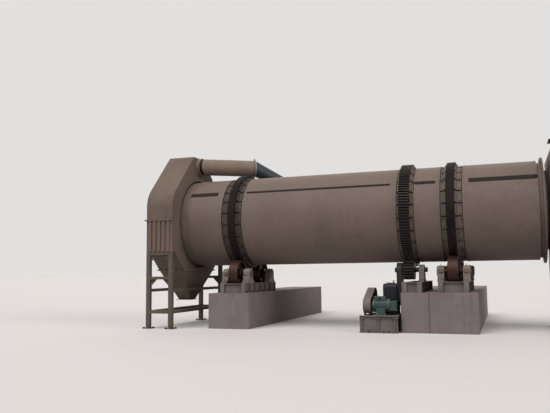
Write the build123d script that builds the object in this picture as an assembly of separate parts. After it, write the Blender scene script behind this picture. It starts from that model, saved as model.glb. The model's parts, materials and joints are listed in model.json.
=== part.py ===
"""Rotary drum dryer: a jacketed drum that turns on two riding rings and four rollers.

Millimetres, +Z up. The origin is on the floor, under the drum's centre line, at the middle of
the discharge riding ring. +X runs along the drum to the feed end, which stands a little higher.
"""

import math
import os

from build123d import *

# Drum axis
AXIS_HEIGHT = 2620.0          # centre line above the floor at the discharge ring
SLOPE = 0.3                   # degrees, the feed end is the higher one

# Stations along the drum, from the discharge ring
RING_SPACING = 5120.0
GEAR_TO_FEED_RING = 995.0
RING_STATIONS = {"discharge": 0.0, "feed": RING_SPACING}
GEAR_STATION = RING_SPACING - GEAR_TO_FEED_RING

# Shell and insulated jackets
SHELL_RADIUS = 1050.0
SHELL_WALL = 16.0
SHELL_BEYOND_RING = 1880.0    # from the feed ring to the shell's feed end
SHELL_END = RING_SPACING + SHELL_BEYOND_RING
JACKET_THICKNESS = 50.0
JACKET_RADIUS = SHELL_RADIUS + JACKET_THICKNESS
JACKET_START = -1190.0
JACKET_SETBACK = 85.0         # bare shell at the feed end
RING_GAPS = {"discharge": (290.0, 240.0), "feed": (220.0, 260.0)}   # ring to the jackets beside it
GEAR_GAPS = (175.0, 215.0)    # the gear's middle to the jackets beside it
JACKET_SPANS = {
    "jacket_discharge": (JACKET_START, -RING_GAPS["discharge"][0]),
    "jacket_middle": (RING_GAPS["discharge"][1], GEAR_STATION - GEAR_GAPS[0]),
    "jacket_narrow": (GEAR_STATION + GEAR_GAPS[1], RING_SPACING - RING_GAPS["feed"][0]),
    "jacket_feed": (RING_SPACING + RING_GAPS["feed"][1], SHELL_END - JACKET_SETBACK),
}
SEAM_ANGLE = 36.0             # joint strips sit this far above the horizontal, in degrees
SEAM_THICKNESS = 14.0
SEAMS = {                     # gap at the strip's start, gap at its end, width
    "jacket_discharge": (0.0, 165.0, 100.0),
    "jacket_middle": (70.0, 150.0, 45.0),
    "jacket_narrow": (0.0, 100.0, 72.0),
    "jacket_feed": (134.0, 0.0, 104.0),
}
SEAL_BAND_SHOWN = 215.0       # wear band between the hood and the first jacket
SEAL_BAND_THICKNESS = 40.0
SEAL_BAND_RADIUS = SHELL_RADIUS + SEAL_BAND_THICKNESS
SEAL_BAND_IN_HOOD = 135.0
SHELL_IN_HOOD = 155.0
END_FLANGE_REACH = 120.0      # beyond the shell
END_FLANGE_RADIUS = SHELL_RADIUS + END_FLANGE_REACH
END_FLANGE_THICKNESS = 45.0
NECK_INSET = 190.0
NECK_RADIUS = SHELL_RADIUS - NECK_INSET    # feed neck, which enters the feed housing
NECK_WALL = 12.0
NECK_LENGTH = 320.0

# Lifting flights inside the shell
FLIGHT_ROWS = 4
FLIGHT_COUNT = 10             # in each row
FLIGHT_HEIGHT = 200.0         # from the shell towards the axis
FLIGHT_LIP = 90.0             # bent over at the inner edge
FLIGHT_PLATE = 8.0
FLIGHT_END_GAP = 300.0        # bare shell at both ends
FLIGHT_ROW_GAP = 60.0

# Riding rings, their chairs and rollers
CHAIR_HEIGHT = 42.0           # pads between the shell and a ring
RING_BORE = SHELL_RADIUS + CHAIR_HEIGHT
RING_DEPTH = 98.0
RING_RADIUS = RING_BORE + RING_DEPTH
RING_WIDTH = 184.0
RING_EDGE = 8.0               # chamfer on the running face
CHAIR_COUNT = 24
CHAIR_WIDTH = 245.0           # round the drum
CHAIR_END_GAP = 18.0          # between the pads and the jackets
CHAIR_LUG_HEIGHT = 48.0       # the lug that keeps a ring in its place
CHAIR_LUG_LENGTH = 34.0
ROLLER_RADIUS = 335.0
ROLLER_WIDTH = 224.0
ROLLER_ANGLE = 30.0           # each roller stands this far from straight below, in degrees
ROLLER_RIM = 52.0
ROLLER_WEB = 60.0
ROLLER_HUB_RADIUS = 125.0
ROLLER_HUB_LENGTH = 290.0
ROLLER_SHAFT_RADIUS = 65.0
ROLLER_SHAFT_STUB = 22.0      # the shaft stands out this far beyond its blocks
ROLLER_AXIS_RISE = 229.0      # above the base frame
BLOCK_OFFSET = 270.0          # middle of a bearing block from the middle of its ring
BLOCK_THICKNESS = 145.0
BLOCK_CAP = 60.0              # metal round the shaft
BLOCK_FOOT_LENGTH = 430.0
BLOCK_FOOT_HEIGHT = 52.0
BLOCK_SPREAD = 1.25           # the block's width at its foot over that at its cap

# Girth gear and pinion
MODULE = 20.0
GEAR_TEETH = round(2 * RING_RADIUS / MODULE) - 1
PINION_TEETH = 20
PRESSURE_ANGLE = 20.0
BACKLASH = 4.0
GEAR_FACE = 240.0
PINION_FACE = 250.0
PINION_ANGLE = 22.0           # from straight below, towards the front
PINION_SHAFT_RADIUS = 55.0
PINION_SHAFT_STUB = 65.0      # beyond the bearing block
PINION_BLOCK_THICKNESS = 120.0

# Concrete piers and steel base frames
PIER_FRONT = -1140.0
PIER_BACK = 5360.0
PIER_CHAMFER = 22.0
DISCHARGE_PIER = (610.0, 430.0)       # before and after the ring
FEED_PIER = (508.0, 506.0)
PIER_SPANS = {
    "discharge_pier": (-DISCHARGE_PIER[0], DISCHARGE_PIER[1]),
    "gear_pier": (GEAR_STATION - GEAR_FACE / 2, RING_SPACING - FEED_PIER[0]),
    "feed_pier": (RING_SPACING - FEED_PIER[0], RING_SPACING + FEED_PIER[1]),
}
FRAME_HEIGHT = 230.0
FRAME_HALF_LENGTH = 1100.0    # across the drum
FRAME_FLANGE_WIDTH = 110.0
FRAME_FLANGE = 14.0
FRAME_WEB = 10.0
FRAME_TIE_OFFSET = 250.0      # inner ties, on each side of the drum's middle
FRAME_STIFFENER = 12.0        # plates between the flanges
FRAME_STIFFENER_COUNT = 7     # along each beam
FRAME_STIFFENER_INSET = 3.0   # behind the flanges' edges
END_CHANNEL_SETBACK = 62.0
GEAR_FRAME_SETBACK = 15.0     # from the gear pier's edge
GEAR_FRAME_LENGTH = 440.0
GEAR_FRAME_START = PIER_SPANS["gear_pier"][0] + GEAR_FRAME_SETBACK
PINION_BLOCK_STATION = GEAR_FRAME_START + GEAR_FRAME_LENGTH - FRAME_FLANGE_WIDTH / 2

# Discharge hood
HOOD_FRONT = JACKET_START - SEAL_BAND_SHOWN
HOOD_LENGTH = 705.0
HOOD_BACK = HOOD_FRONT - HOOD_LENGTH
HOOD_OPENING_GAP = 44.0       # round the wear band
HOOD_OPENING_RADIUS = SEAL_BAND_RADIUS + HOOD_OPENING_GAP
HOOD_MARGIN = 366.0           # from the opening to the hood's side
HOOD_HALF_WIDTH = HOOD_OPENING_RADIUS + HOOD_MARGIN
HOOD_SHOULDER_RISE = 580.0    # above the axis, where the side would meet the 45 degree roof slope
HOOD_SHOULDER = AXIS_HEIGHT + HOOD_SHOULDER_RISE
HOOD_SHOULDER_RADIUS = 620.0
HOOD_RISE = 1740.0
HOOD_TOP = AXIS_HEIGHT + HOOD_RISE
HOOD_PLATE = 8.0
HOOD_LIP = 26.0               # collar round the drum opening, along the drum
HOOD_LIP_WALL = 10.0
HOOD_FLANGE_REACH = 42.0
HOOD_FLANGE_THICKNESS = 12.0
HOOD_LEDGE_DROP = 760.0
HOOD_LEDGE_HEIGHT = AXIS_HEIGHT - HOOD_LEDGE_DROP    # the box stands on the support frame here
HOOD_LEDGE_WIDTH = 110.0
HOOD_BOTTOM_DROP = 1220.0
HOOD_BOTTOM = AXIS_HEIGHT - HOOD_BOTTOM_DROP
HOOD_BOTTOM_HALF = 850.0
HOOD_RIB_COUNT = 5
HOOD_RIB_WIDTH = 62.0
HOOD_RIB_DEPTH = 30.0
HOOD_RIB_PITCH = 124.0
HOPPER_OUTLET = 300.0         # square
HOPPER_HEIGHT = 750.0
HOPPER_OUTLET_HEIGHT = HOOD_BOTTOM - HOPPER_HEIGHT
HOPPER_FLANGE = 420.0
HOPPER_FLANGE_THICKNESS = 12.0
HOPPER_BOLT_SPACING = 360.0
BOLT_HOLE_RADIUS = 9.0        # in every bolting flange

# Support frame under the hood
POST = 100.0
TOP_BEAM = 90.0
MID_BEAM_DROP = 220.0
MID_BEAM_HEIGHT = HOOD_BOTTOM - MID_BEAM_DROP
MID_BEAM = 70.0
CROSS_BEAM_RISE = 230.0
CROSS_BEAM_HEIGHT = HOPPER_OUTLET_HEIGHT + CROSS_BEAM_RISE    # the long beams pass beside the hopper here
LOW_BEAM_HEIGHT = 360.0
GUSSET = 170.0
GUSSET_THICKNESS = 10.0
FOOT_PLATE = 220.0
FOOT_PLATE_THICKNESS = 16.0

# Exhaust duct above the drum
DUCT_RADIUS = 215.0
DUCT_WALL = 4.0
DUCT_DROP = 240.0
DUCT_HEIGHT = HOOD_TOP - DUCT_DROP
COLLAR_LENGTH = 95.0
COLLAR_RADIUS = 238.0
COLLAR_PLATE = 10.0
SLEEVE_LENGTH = 95.0
SLEEVE_RADIUS = 202.0
SLEEVE_BORE = 194.0
DUCT_TURN = 33.0              # the duct leads away from the drum by this angle, seen from above
DUCT_LENGTH = 1330.0
DUCT_WELDS = (950.0,)         # from the duct's start, where its lengths are welded together
DUCT_RING_RADIUS = 236.0
DUCT_RING_LENGTH = 36.0
BRANCH_RADIUS = 150.0         # the small end of the tapered branch
BRANCH_REACH = (950.0, 1075.0, -580.0)     # from the duct's mouth
BRANCH_WELDS = (520.0, 1040.0)        # from the duct's mouth, where the branch's lengths meet
BRANCH_FLANGE_RADIUS = 215.0
BRANCH_FLANGE_THICKNESS = 12.0
BRANCH_BOLT_CIRCLE = 182.0
BRANCH_BOLTS = 8

# Drive: reducer, belts, motor and their skid
OUTPUT_CASE_GAP = 25.0        # between the reducer's output case and the pinion
OUTPUT_CASE_LENGTH = 115.0
OUTPUT_CASE_RADIUS = 165.0
OUTPUT_CASE_END = GEAR_STATION - PINION_FACE / 2 - OUTPUT_CASE_GAP
PINION_SHAFT_IN_REDUCER = 60.0        # past the output case
REDUCER_LENGTH = 300.0
REDUCER_END = OUTPUT_CASE_END - OUTPUT_CASE_LENGTH
REDUCER_START = REDUCER_END - REDUCER_LENGTH
REDUCER_INPUT_HEIGHT = 720.0
REDUCER_TOP = 335.0           # above the input shaft
REDUCER_HALF_WIDTH = 250.0
REDUCER_EDGE = 70.0           # chamfer along the top
REDUCER_SPLIT = (32.0, 28.0)          # flange at the split: reach, thickness
REDUCER_FOOT = (46.0, 26.0)           # reach, thickness
REDUCER_RIM = 12.0            # the flange and foot stand out this far at the input end
BELT_TO_REDUCER = 300.0
BELT_STATION = REDUCER_START - BELT_TO_REDUCER
BELT_WIDTH = 84.0
BELT_THICKNESS = 14.0
MOTOR_PULLEY_RADIUS = 112.0
REDUCER_PULLEY_RADIUS = 180.0
PULLEY_FACE = 100.0
PULLEY_RIM = 30.0
PULLEY_WEB = 18.0
PULLEY_HUB = 28.0
GUARD_WIDTH = 170.0
GUARD_WALL = 5.0
GUARD_CLEARANCE = 62.0
GUARD_LEG = (40.0, 50.0)              # along, across
MOTOR_OFFSET = 493.0          # the motor stands this far in front of the reducer's input
MOTOR_HEIGHT = 580.0
MOTOR_GAP = 20.0              # between the guard and the motor's nose
MOTOR_START = BELT_STATION + GUARD_WIDTH / 2 + MOTOR_GAP
MOTOR_LENGTH = 400.0
MOTOR_RADIUS = 146.0
MOTOR_RIM = 4.0               # the end bells stand out this far beyond the fins
MOTOR_FIN_COUNT = 28
MOTOR_FIN_DEPTH = 14.0
MOTOR_FIN_THICKNESS = 6.0
MOTOR_NOSE = (30.0, 82.0)             # length, radius
MOTOR_BELL = 35.0
MOTOR_COWL = 65.0
MOTOR_TAIL = (135.0, 210.0)           # brake housing behind the cowl: length, width
MOTOR_SHAFT_RADIUS = 26.0
MOTOR_FOOT = (230.0, 95.0, 24.0)      # along, across, up
MOTOR_FOOT_OFFSET = 117.0             # middle of each foot from the motor's axis
MOTOR_FOOT_WEB = (190.0, 40.0)
TERMINAL_BOX = (210.0, 150.0, 62.0)
SKID_TOP = 370.0
SKID_BEFORE_BELTS = 140.0
SKID_PAST_REDUCER = 100.0
SKID_START = BELT_STATION - SKID_BEFORE_BELTS
SKID_END = REDUCER_END + SKID_PAST_REDUCER
SKID_IN_FRONT = 320.0         # of the motor's axis
SKID_BEHIND = 60.0            # of the reducer's foot
SKID_BEAM = (120.0, 16.0, 12.0)       # width, flange, web
SKID_TIE_DROP = 40.0          # the cross ties stop this far below the rails' tops
MOTOR_PLATE = (380.0, 16.0)           # across, thickness
STAND_TOP = 500.0
STAND_LEG = 90.0
STAND_INSET = 30.0
STAND_PLATE = 20.0

# Feed end housing
HOUSING_GAP = 130.0           # from the drum's end flange
HOUSING_START = SHELL_END + END_FLANGE_THICKNESS + HOUSING_GAP
HOUSING_LENGTH = 605.0
HOUSING_END = HOUSING_START + HOUSING_LENGTH
HOUSING_MARGIN = 70.0         # beyond the end flange
HOUSING_HALF_WIDTH = END_FLANGE_RADIUS + HOUSING_MARGIN
HOUSING_BOTTOM = AXIS_HEIGHT - HOUSING_HALF_WIDTH
HOUSING_TOP = AXIS_HEIGHT + HOUSING_HALF_WIDTH
HOUSING_PLATE = 8.0
NECK_CLEARANCE = 30.0
INLET_RADIUS = 430.0
INLET_LENGTH = 160.0
INLET_WALL = 10.0
INLET_FLANGE_RADIUS = 520.0
INLET_FLANGE_THICKNESS = 16.0
INLET_BOLT_CIRCLE = 480.0
INLET_BOLTS = 12
INLET_DROP = 300.0
INLET_HEIGHT = AXIS_HEIGHT - INLET_DROP
CHUTE_WIDTH = 420.0
CHUTE_WALL = 8.0
CHUTE_FLANGE = 560.0
CHUTE_FLANGE_THICKNESS = 12.0
CHUTE_BOLT_SPACING = 500.0
CHUTE_RISE = 340.0

# Clearances
FACE_GAP = 0.3                # between round faces that nearly touch
SHAFT_CLEARANCE = 0.05        # round a shaft in its bearing
THROUGH = 60.0                # a cutter runs this far past the wall it cuts
FAR = 6000.0                  # beyond the machine

SIN = math.sin(math.radians(SLOPE))
COS = math.cos(math.radians(SLOPE))
DRUM = Pos(0, 0, AXIS_HEIGHT) * Rot(0, -SLOPE, 0)
ALONG = Rot(0, 90, 0)

parts = {}


def tube(start, end, outer, inner=0.0):
    """A ring or disc about the X axis from start to end."""
    middle = Pos((start + end) / 2, 0, 0) * ALONG
    ring = middle * Cylinder(outer, end - start)
    if inner > 0:
        ring -= middle * Cylinder(inner, end - start + 2)
    return ring


def block(x, y, z):
    """A box given by its low and high limits along each axis."""
    size = [high - low for low, high in (x, y, z)]
    centre = [(high + low) / 2 for low, high in (x, y, z)]
    return Pos(*centre) * Box(*size)


def across(profile, start, end):
    """Extrude a profile drawn in (Y, Z) along X from start to end."""
    return Pos(start, 0, 0) * extrude(Plane.YZ * profile, end - start, dir=(1, 0, 0))


def polygon(points):
    return make_face(Polyline(*points, close=True))


def i_beam(middle, span, heights, section, along=False):
    """I-beam that runs across the drum at X = middle, or along it at Y = middle."""
    width, flange, web = section
    low, high = heights
    beam = None
    for wide, z in ((width, (low, low + flange)), (width, (high - flange, high)), (web, (low, high))):
        side = (middle - wide / 2, middle + wide / 2)
        piece = block(span, side, z) if along else block(side, span, z)
        beam = piece if beam is None else beam + piece
    return beam


# Drum


def drum_shell():
    shell = tube(HOOD_FRONT - SHELL_IN_HOOD, SHELL_END, SHELL_RADIUS, SHELL_RADIUS - SHELL_WALL)
    return DRUM * shell


def lifting_flights():
    """Rows of bent plates that lift the material and drop it, each row turned by half a step."""
    bore = SHELL_RADIUS - SHELL_WALL - FACE_GAP
    tip = bore - FLIGHT_HEIGHT
    start = HOOD_FRONT - SHELL_IN_HOOD + FLIGHT_END_GAP
    pitch = (SHELL_END - FLIGHT_END_GAP - start + FLIGHT_ROW_GAP) / FLIGHT_ROWS
    step = 360 / FLIGHT_COUNT
    flights = []
    for row in range(FLIGHT_ROWS):
        first = start + row * pitch
        span = (first, first + pitch - FLIGHT_ROW_GAP)
        flight = block(span, (0, FLIGHT_PLATE), (tip, 2 * bore)) & tube(*span, bore)
        flight += block(span, (0, FLIGHT_LIP), (tip, tip + FLIGHT_PLATE))
        for i in range(FLIGHT_COUNT):
            flights.append(DRUM * Rot((i + row / 2) * step, 0, 0) * flight)
    return Compound(flights)


def jacket(start, end):
    return DRUM * tube(start, end, JACKET_RADIUS, SHELL_RADIUS + FACE_GAP)


def jacket_seams():
    """One raised joint strip on each jacket, on the front side."""
    strips = []
    reach = 2 * JACKET_RADIUS
    for name, (before, after, width) in SEAMS.items():
        start, end = JACKET_SPANS[name]
        span = (start + before, end - after)
        half_angle = math.degrees(width / 2 / JACKET_RADIUS)
        angles = [math.radians(180 - SEAM_ANGLE + turn) for turn in (-half_angle, half_angle)]
        wedge = polygon([(0, 0)] + [(reach * math.cos(a), reach * math.sin(a)) for a in angles])
        ring = tube(*span, JACKET_RADIUS + SEAM_THICKNESS, JACKET_RADIUS + FACE_GAP)
        strips.append(DRUM * (ring & across(wedge, *span)))
    return Compound(strips)


def seal_band():
    start = HOOD_FRONT - SEAL_BAND_IN_HOOD
    return DRUM * tube(start, JACKET_START, SEAL_BAND_RADIUS, SHELL_RADIUS + FACE_GAP)


def end_flange():
    """Annular end plate of the drum with the feed neck."""
    plate = tube(SHELL_END, SHELL_END + END_FLANGE_THICKNESS, END_FLANGE_RADIUS, NECK_RADIUS - NECK_WALL)
    neck = tube(SHELL_END, SHELL_END + NECK_LENGTH, NECK_RADIUS, NECK_RADIUS - NECK_WALL)
    return DRUM * (plate + neck)


def riding_ring(station):
    half = RING_WIDTH / 2
    ring = tube(station - half, station + half, RING_RADIUS, RING_BORE)
    rims = ring.edges().filter_by(GeomType.CIRCLE).group_by(SortBy.RADIUS)[-1]
    return DRUM * chamfer(rims, RING_EDGE)


def chairs(station, width, bore, gaps):
    """Pads on the shell that carry a ring, each with a lug on both sides of it."""
    start, end = (station + side * (gap - CHAIR_END_GAP) for side, gap in zip((-1, 1), gaps))
    pad_top = bore - FACE_GAP
    lug_start = width / 2 + FACE_GAP
    ring = tube(start, end, pad_top, SHELL_RADIUS)
    for side in (-1, 1):
        near, far = sorted((station + side * lug_start, station + side * (lug_start + CHAIR_LUG_LENGTH)))
        ring += tube(near, far, bore + CHAIR_LUG_HEIGHT, SHELL_RADIUS)
    one = ring & block((start, end), (-CHAIR_WIDTH / 2, CHAIR_WIDTH / 2), (0, 2 * bore))
    step = 360 / CHAIR_COUNT
    return Compound([DRUM * Rot(i * step, 0, 0) * one for i in range(CHAIR_COUNT)])


# Gears


def involute(angle):
    return math.tan(angle) - angle


def gear_profile(teeth, first_tooth, bore=0.0):
    """Face of a spur gear in (Y, Z); first_tooth is the direction of one tooth's middle."""
    pitch = MODULE * teeth / 2
    base = pitch * math.cos(math.radians(PRESSURE_ANGLE))
    root = pitch - 1.25 * MODULE
    tip = pitch + MODULE
    radii = sorted({root, max(root, base), pitch, tip})
    half_at_pitch = math.pi / 2 / teeth - BACKLASH / 4 / pitch
    at_pitch = involute(math.radians(PRESSURE_ANGLE))
    flank = []
    for radius in radii:
        roll = math.acos(min(1.0, base / radius))
        flank.append((radius, half_at_pitch + at_pitch - involute(roll)))
    points = []
    for i in range(teeth):
        middle = first_tooth + 2 * math.pi * i / teeth
        for radius, half in flank:
            points.append((radius * math.cos(middle - half), radius * math.sin(middle - half)))
        for radius, half in reversed(flank):
            points.append((radius * math.cos(middle + half), radius * math.sin(middle + half)))
    face = polygon(points)
    if bore > 0:
        face -= Circle(bore)
    return face


GEAR_CENTRES = MODULE * (GEAR_TEETH + PINION_TEETH) / 2
PINION_Y = -GEAR_CENTRES * math.sin(math.radians(PINION_ANGLE))
PINION_W = -GEAR_CENTRES * math.cos(math.radians(PINION_ANGLE))
TO_PINION = math.atan2(PINION_W, PINION_Y)
PINION_SHAFT_START = REDUCER_END - PINION_SHAFT_IN_REDUCER
PINION_SHAFT_END = PINION_BLOCK_STATION + PINION_BLOCK_THICKNESS / 2 + PINION_SHAFT_STUB


def girth_gear():
    half = GEAR_FACE / 2
    face = gear_profile(GEAR_TEETH, TO_PINION, RING_BORE)
    return DRUM * across(face, GEAR_STATION - half, GEAR_STATION + half)


def pinion():
    """Pinion and its shaft, which runs from the reducer's output case through a bearing block."""
    half = PINION_FACE / 2
    gap_faces_gear = TO_PINION + math.pi + math.pi / PINION_TEETH
    wheel = across(gear_profile(PINION_TEETH, gap_faces_gear), GEAR_STATION - half, GEAR_STATION + half)
    shaft = tube(PINION_SHAFT_START, PINION_SHAFT_END, PINION_SHAFT_RADIUS)
    return DRUM * Pos(0, PINION_Y, PINION_W) * (wheel + shaft)


# Rollers and their bearing blocks

ROLLER_CENTRES = RING_RADIUS + ROLLER_RADIUS + FACE_GAP
ROLLER_Y = ROLLER_CENTRES * math.sin(math.radians(ROLLER_ANGLE))
ROLLER_W = -ROLLER_CENTRES * math.cos(math.radians(ROLLER_ANGLE))
FRAME_TOP_W = ROLLER_W - ROLLER_AXIS_RISE
FRAME_BOTTOM_W = FRAME_TOP_W - FRAME_HEIGHT
FRAME_BEAM = (FRAME_FLANGE_WIDTH, FRAME_FLANGE, FRAME_WEB)


def roller(station, side):
    """Cast roller with a recessed web, pressed on its shaft."""
    half = ROLLER_WIDTH / 2
    web = ROLLER_WEB / 2
    hub = ROLLER_HUB_LENGTH / 2
    shaft = BLOCK_OFFSET + BLOCK_THICKNESS / 2 + ROLLER_SHAFT_STUB
    rim = ROLLER_RADIUS - ROLLER_RIM
    edge = RING_EDGE
    outline = Polyline(
        (-shaft, 0), (-shaft, ROLLER_SHAFT_RADIUS), (-hub, ROLLER_SHAFT_RADIUS), (-hub, ROLLER_HUB_RADIUS),
        (-web, ROLLER_HUB_RADIUS), (-web, rim), (-half, rim), (-half, ROLLER_RADIUS - edge),
        (-half + edge, ROLLER_RADIUS), (half - edge, ROLLER_RADIUS), (half, ROLLER_RADIUS - edge),
        (half, rim), (web, rim), (web, ROLLER_HUB_RADIUS), (hub, ROLLER_HUB_RADIUS),
        (hub, ROLLER_SHAFT_RADIUS), (shaft, ROLLER_SHAFT_RADIUS), (shaft, 0), close=True,
    )
    body = revolve(make_face(outline), Axis.X)
    return DRUM * Pos(station, side * ROLLER_Y, ROLLER_W) * body


def bearing_block(centre_height, bore, thickness):
    """Split plummer block about the X axis, its foot at -centre_height."""
    foot = BLOCK_FOOT_LENGTH / 2
    waist = bore + BLOCK_CAP
    wide = waist * BLOCK_SPREAD
    shoulder = -centre_height + BLOCK_FOOT_HEIGHT
    body = polygon([
        (-foot, -centre_height), (foot, -centre_height), (foot, shoulder), (wide, shoulder),
        (waist, 0), (-waist, 0), (-wide, shoulder), (-foot, shoulder),
    ])
    profile = body + Circle(waist) - Circle(bore + SHAFT_CLEARANCE)
    return across(profile, -thickness / 2, thickness / 2)


def roller_blocks(station):
    height = ROLLER_W - FRAME_TOP_W
    one = bearing_block(height, ROLLER_SHAFT_RADIUS, BLOCK_THICKNESS)
    places = [(end, side) for side in (-1, 1) for end in (-1, 1)]
    return Compound([
        DRUM * Pos(station + end * BLOCK_OFFSET, side * ROLLER_Y, ROLLER_W) * one for end, side in places
    ])


def pinion_block():
    height = PINION_W - FRAME_TOP_W
    one = bearing_block(height, PINION_SHAFT_RADIUS, PINION_BLOCK_THICKNESS)
    return DRUM * Pos(PINION_BLOCK_STATION, PINION_Y, PINION_W) * one


# Piers and base frames


def pier(start, end):
    """Concrete pier whose top follows the slope of the drum."""
    def top(x):
        return AXIS_HEIGHT + FRAME_BOTTOM_W / COS + x * SIN / COS
    side = polygon([(start, 0), (end, 0), (end, top(end)), (start, top(start))])
    body = extrude(Pos(0, PIER_FRONT, 0) * Rot(90, 0, 0) * side, PIER_BACK - PIER_FRONT, dir=(0, 1, 0))
    return chamfer(body.edges().filter_by(Axis.Z), PIER_CHAMFER)


def base_frame(start, end):
    """Two I-beams with stiffener plates, closed at both ends and tied by two channels."""
    low, high = FRAME_BOTTOM_W, FRAME_TOP_W
    length = (-FRAME_HALF_LENGTH, FRAME_HALF_LENGTH)
    inside = (start + FRAME_FLANGE_WIDTH / 2, end - FRAME_FLANGE_WIDTH / 2)
    frame = i_beam(inside[0], length, (low, high), FRAME_BEAM)
    frame += i_beam(inside[1], length, (low, high), FRAME_BEAM)
    half = FRAME_FLANGE_WIDTH / 2 - FRAME_STIFFENER_INSET
    reach = FRAME_HALF_LENGTH - FRAME_STIFFENER / 2
    for middle in inside:
        for i in range(FRAME_STIFFENER_COUNT):
            y = reach * (2 * i / (FRAME_STIFFENER_COUNT - 1) - 1)
            plate = (y - FRAME_STIFFENER / 2, y + FRAME_STIFFENER / 2)
            frame += block((middle - half, middle + half), plate, (low + FRAME_FLANGE, high - FRAME_FLANGE))
    for side in (-1, 1):
        for outer, depth in ((FRAME_HALF_LENGTH, END_CHANNEL_SETBACK), (FRAME_TIE_OFFSET, 0)):
            web = side * (outer - depth)
            frame += block(inside, sorted((web, web - side * FRAME_WEB)), (low, high))
            if depth:
                lip = sorted((side * outer, web))
                frame += block(inside, lip, (low, low + FRAME_FLANGE))
                frame += block(inside, lip, (high - FRAME_FLANGE, high))
    return DRUM * frame


# Discharge hood


def hood_outline(inset):
    """Half-symmetrical outline of the hood in (Y, Z), moved in by the plate's thickness."""
    side = HOOD_HALF_WIDTH - inset
    diagonal = inset * (math.sqrt(2) - 1)
    shoulder = HOOD_SHOULDER - diagonal
    top = HOOD_TOP - inset
    top_half = side - (top - shoulder)
    ledge = HOOD_LEDGE_HEIGHT + inset
    ledge_half = HOOD_HALF_WIDTH - HOOD_LEDGE_WIDTH - inset
    bottom = HOOD_BOTTOM
    bottom_half = HOOD_BOTTOM_HALF - inset
    right = [
        (bottom_half, bottom), (ledge_half, ledge), (side, ledge), (side, shoulder), (top_half, top),
    ]
    left = [(-y, z) for y, z in reversed(right)]
    face = polygon(right + left)
    corners = [v for v in face.vertices() if abs(v.Z) < 1 and abs(v.Y - shoulder) < 1]
    return fillet(corners, HOOD_SHOULDER_RADIUS - inset)


def hood_box():
    """The whole hood before it is split at the drum's centre line."""
    box = across(hood_outline(0), HOOD_BACK, HOOD_FRONT)
    box -= across(hood_outline(HOOD_PLATE), HOOD_BACK + HOOD_PLATE, HOOD_FRONT - HOOD_PLATE)
    lip = tube(HOOD_FRONT, HOOD_FRONT + HOOD_LIP, HOOD_OPENING_RADIUS + HOOD_LIP_WALL)
    box += DRUM * lip
    box -= DRUM * tube(HOOD_FRONT - THROUGH, HOOD_FRONT + THROUGH, HOOD_OPENING_RADIUS)
    box -= duct_place() * tube(-THROUGH, THROUGH, DUCT_RADIUS - DUCT_WALL)
    return box


def duct_place():
    return Pos(HOOD_FRONT, 0, DUCT_HEIGHT)


def split_flange(low, high):
    """Bolting flange round the hood at the split, open inside."""
    reach = HOOD_FLANGE_REACH
    outer = block(
        (HOOD_BACK - reach, HOOD_FRONT), (-HOOD_HALF_WIDTH - reach, HOOD_HALF_WIDTH + reach), (low, high)
    )
    plate = HOOD_PLATE
    inner = block(
        (HOOD_BACK + plate, HOOD_FRONT + reach),
        (-HOOD_HALF_WIDTH + plate, HOOD_HALF_WIDTH - plate), (low - 1, high + 1),
    )
    return outer - inner


def hood_upper():
    space = block((-FAR, FAR), (-FAR, FAR), (AXIS_HEIGHT, FAR))
    return (hood_box() & space) + split_flange(AXIS_HEIGHT, AXIS_HEIGHT + HOOD_FLANGE_THICKNESS)


def hopper_joint(low, high):
    """Bolting flange between the hood and its hopper, open inside."""
    reach, plate = HOOD_FLANGE_REACH, HOOD_PLATE
    half = HOOD_BOTTOM_HALF
    outer = block((HOOD_BACK - reach, HOOD_FRONT + reach), (-half - reach, half + reach), (low, high))
    inner = block((HOOD_BACK + plate, HOOD_FRONT - plate), (-half + plate, half - plate), (low - 1, high + 1))
    return outer - inner


def hood_lower():
    space = block((-FAR, FAR), (-FAR, FAR), (0, AXIS_HEIGHT))
    hood = (hood_box() & space) + split_flange(AXIS_HEIGHT - HOOD_FLANGE_THICKNESS, AXIS_HEIGHT)
    hood += hopper_joint(HOOD_BOTTOM, HOOD_BOTTOM + HOOD_FLANGE_THICKNESS)
    middle = (HOOD_BACK + HOOD_FRONT) / 2
    for side in (-1, 1):
        face = side * HOOD_HALF_WIDTH
        for i in range(HOOD_RIB_COUNT):
            x = middle + (i - (HOOD_RIB_COUNT - 1) / 2) * HOOD_RIB_PITCH
            hood += block(
                (x - HOOD_RIB_WIDTH / 2, x + HOOD_RIB_WIDTH / 2),
                sorted((face, face + side * HOOD_RIB_DEPTH)),
                (HOOD_LEDGE_HEIGHT, AXIS_HEIGHT - HOOD_FLANGE_THICKNESS),
            )
    return hood


def frustum(bottom, top):
    """Solid between two centred rectangles, each given as (half X, half Y, Z)."""
    faces = [Pos(0, 0, z) * Rectangle(2 * x, 2 * y) for x, y, z in (bottom, top)]
    return loft(faces)


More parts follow.
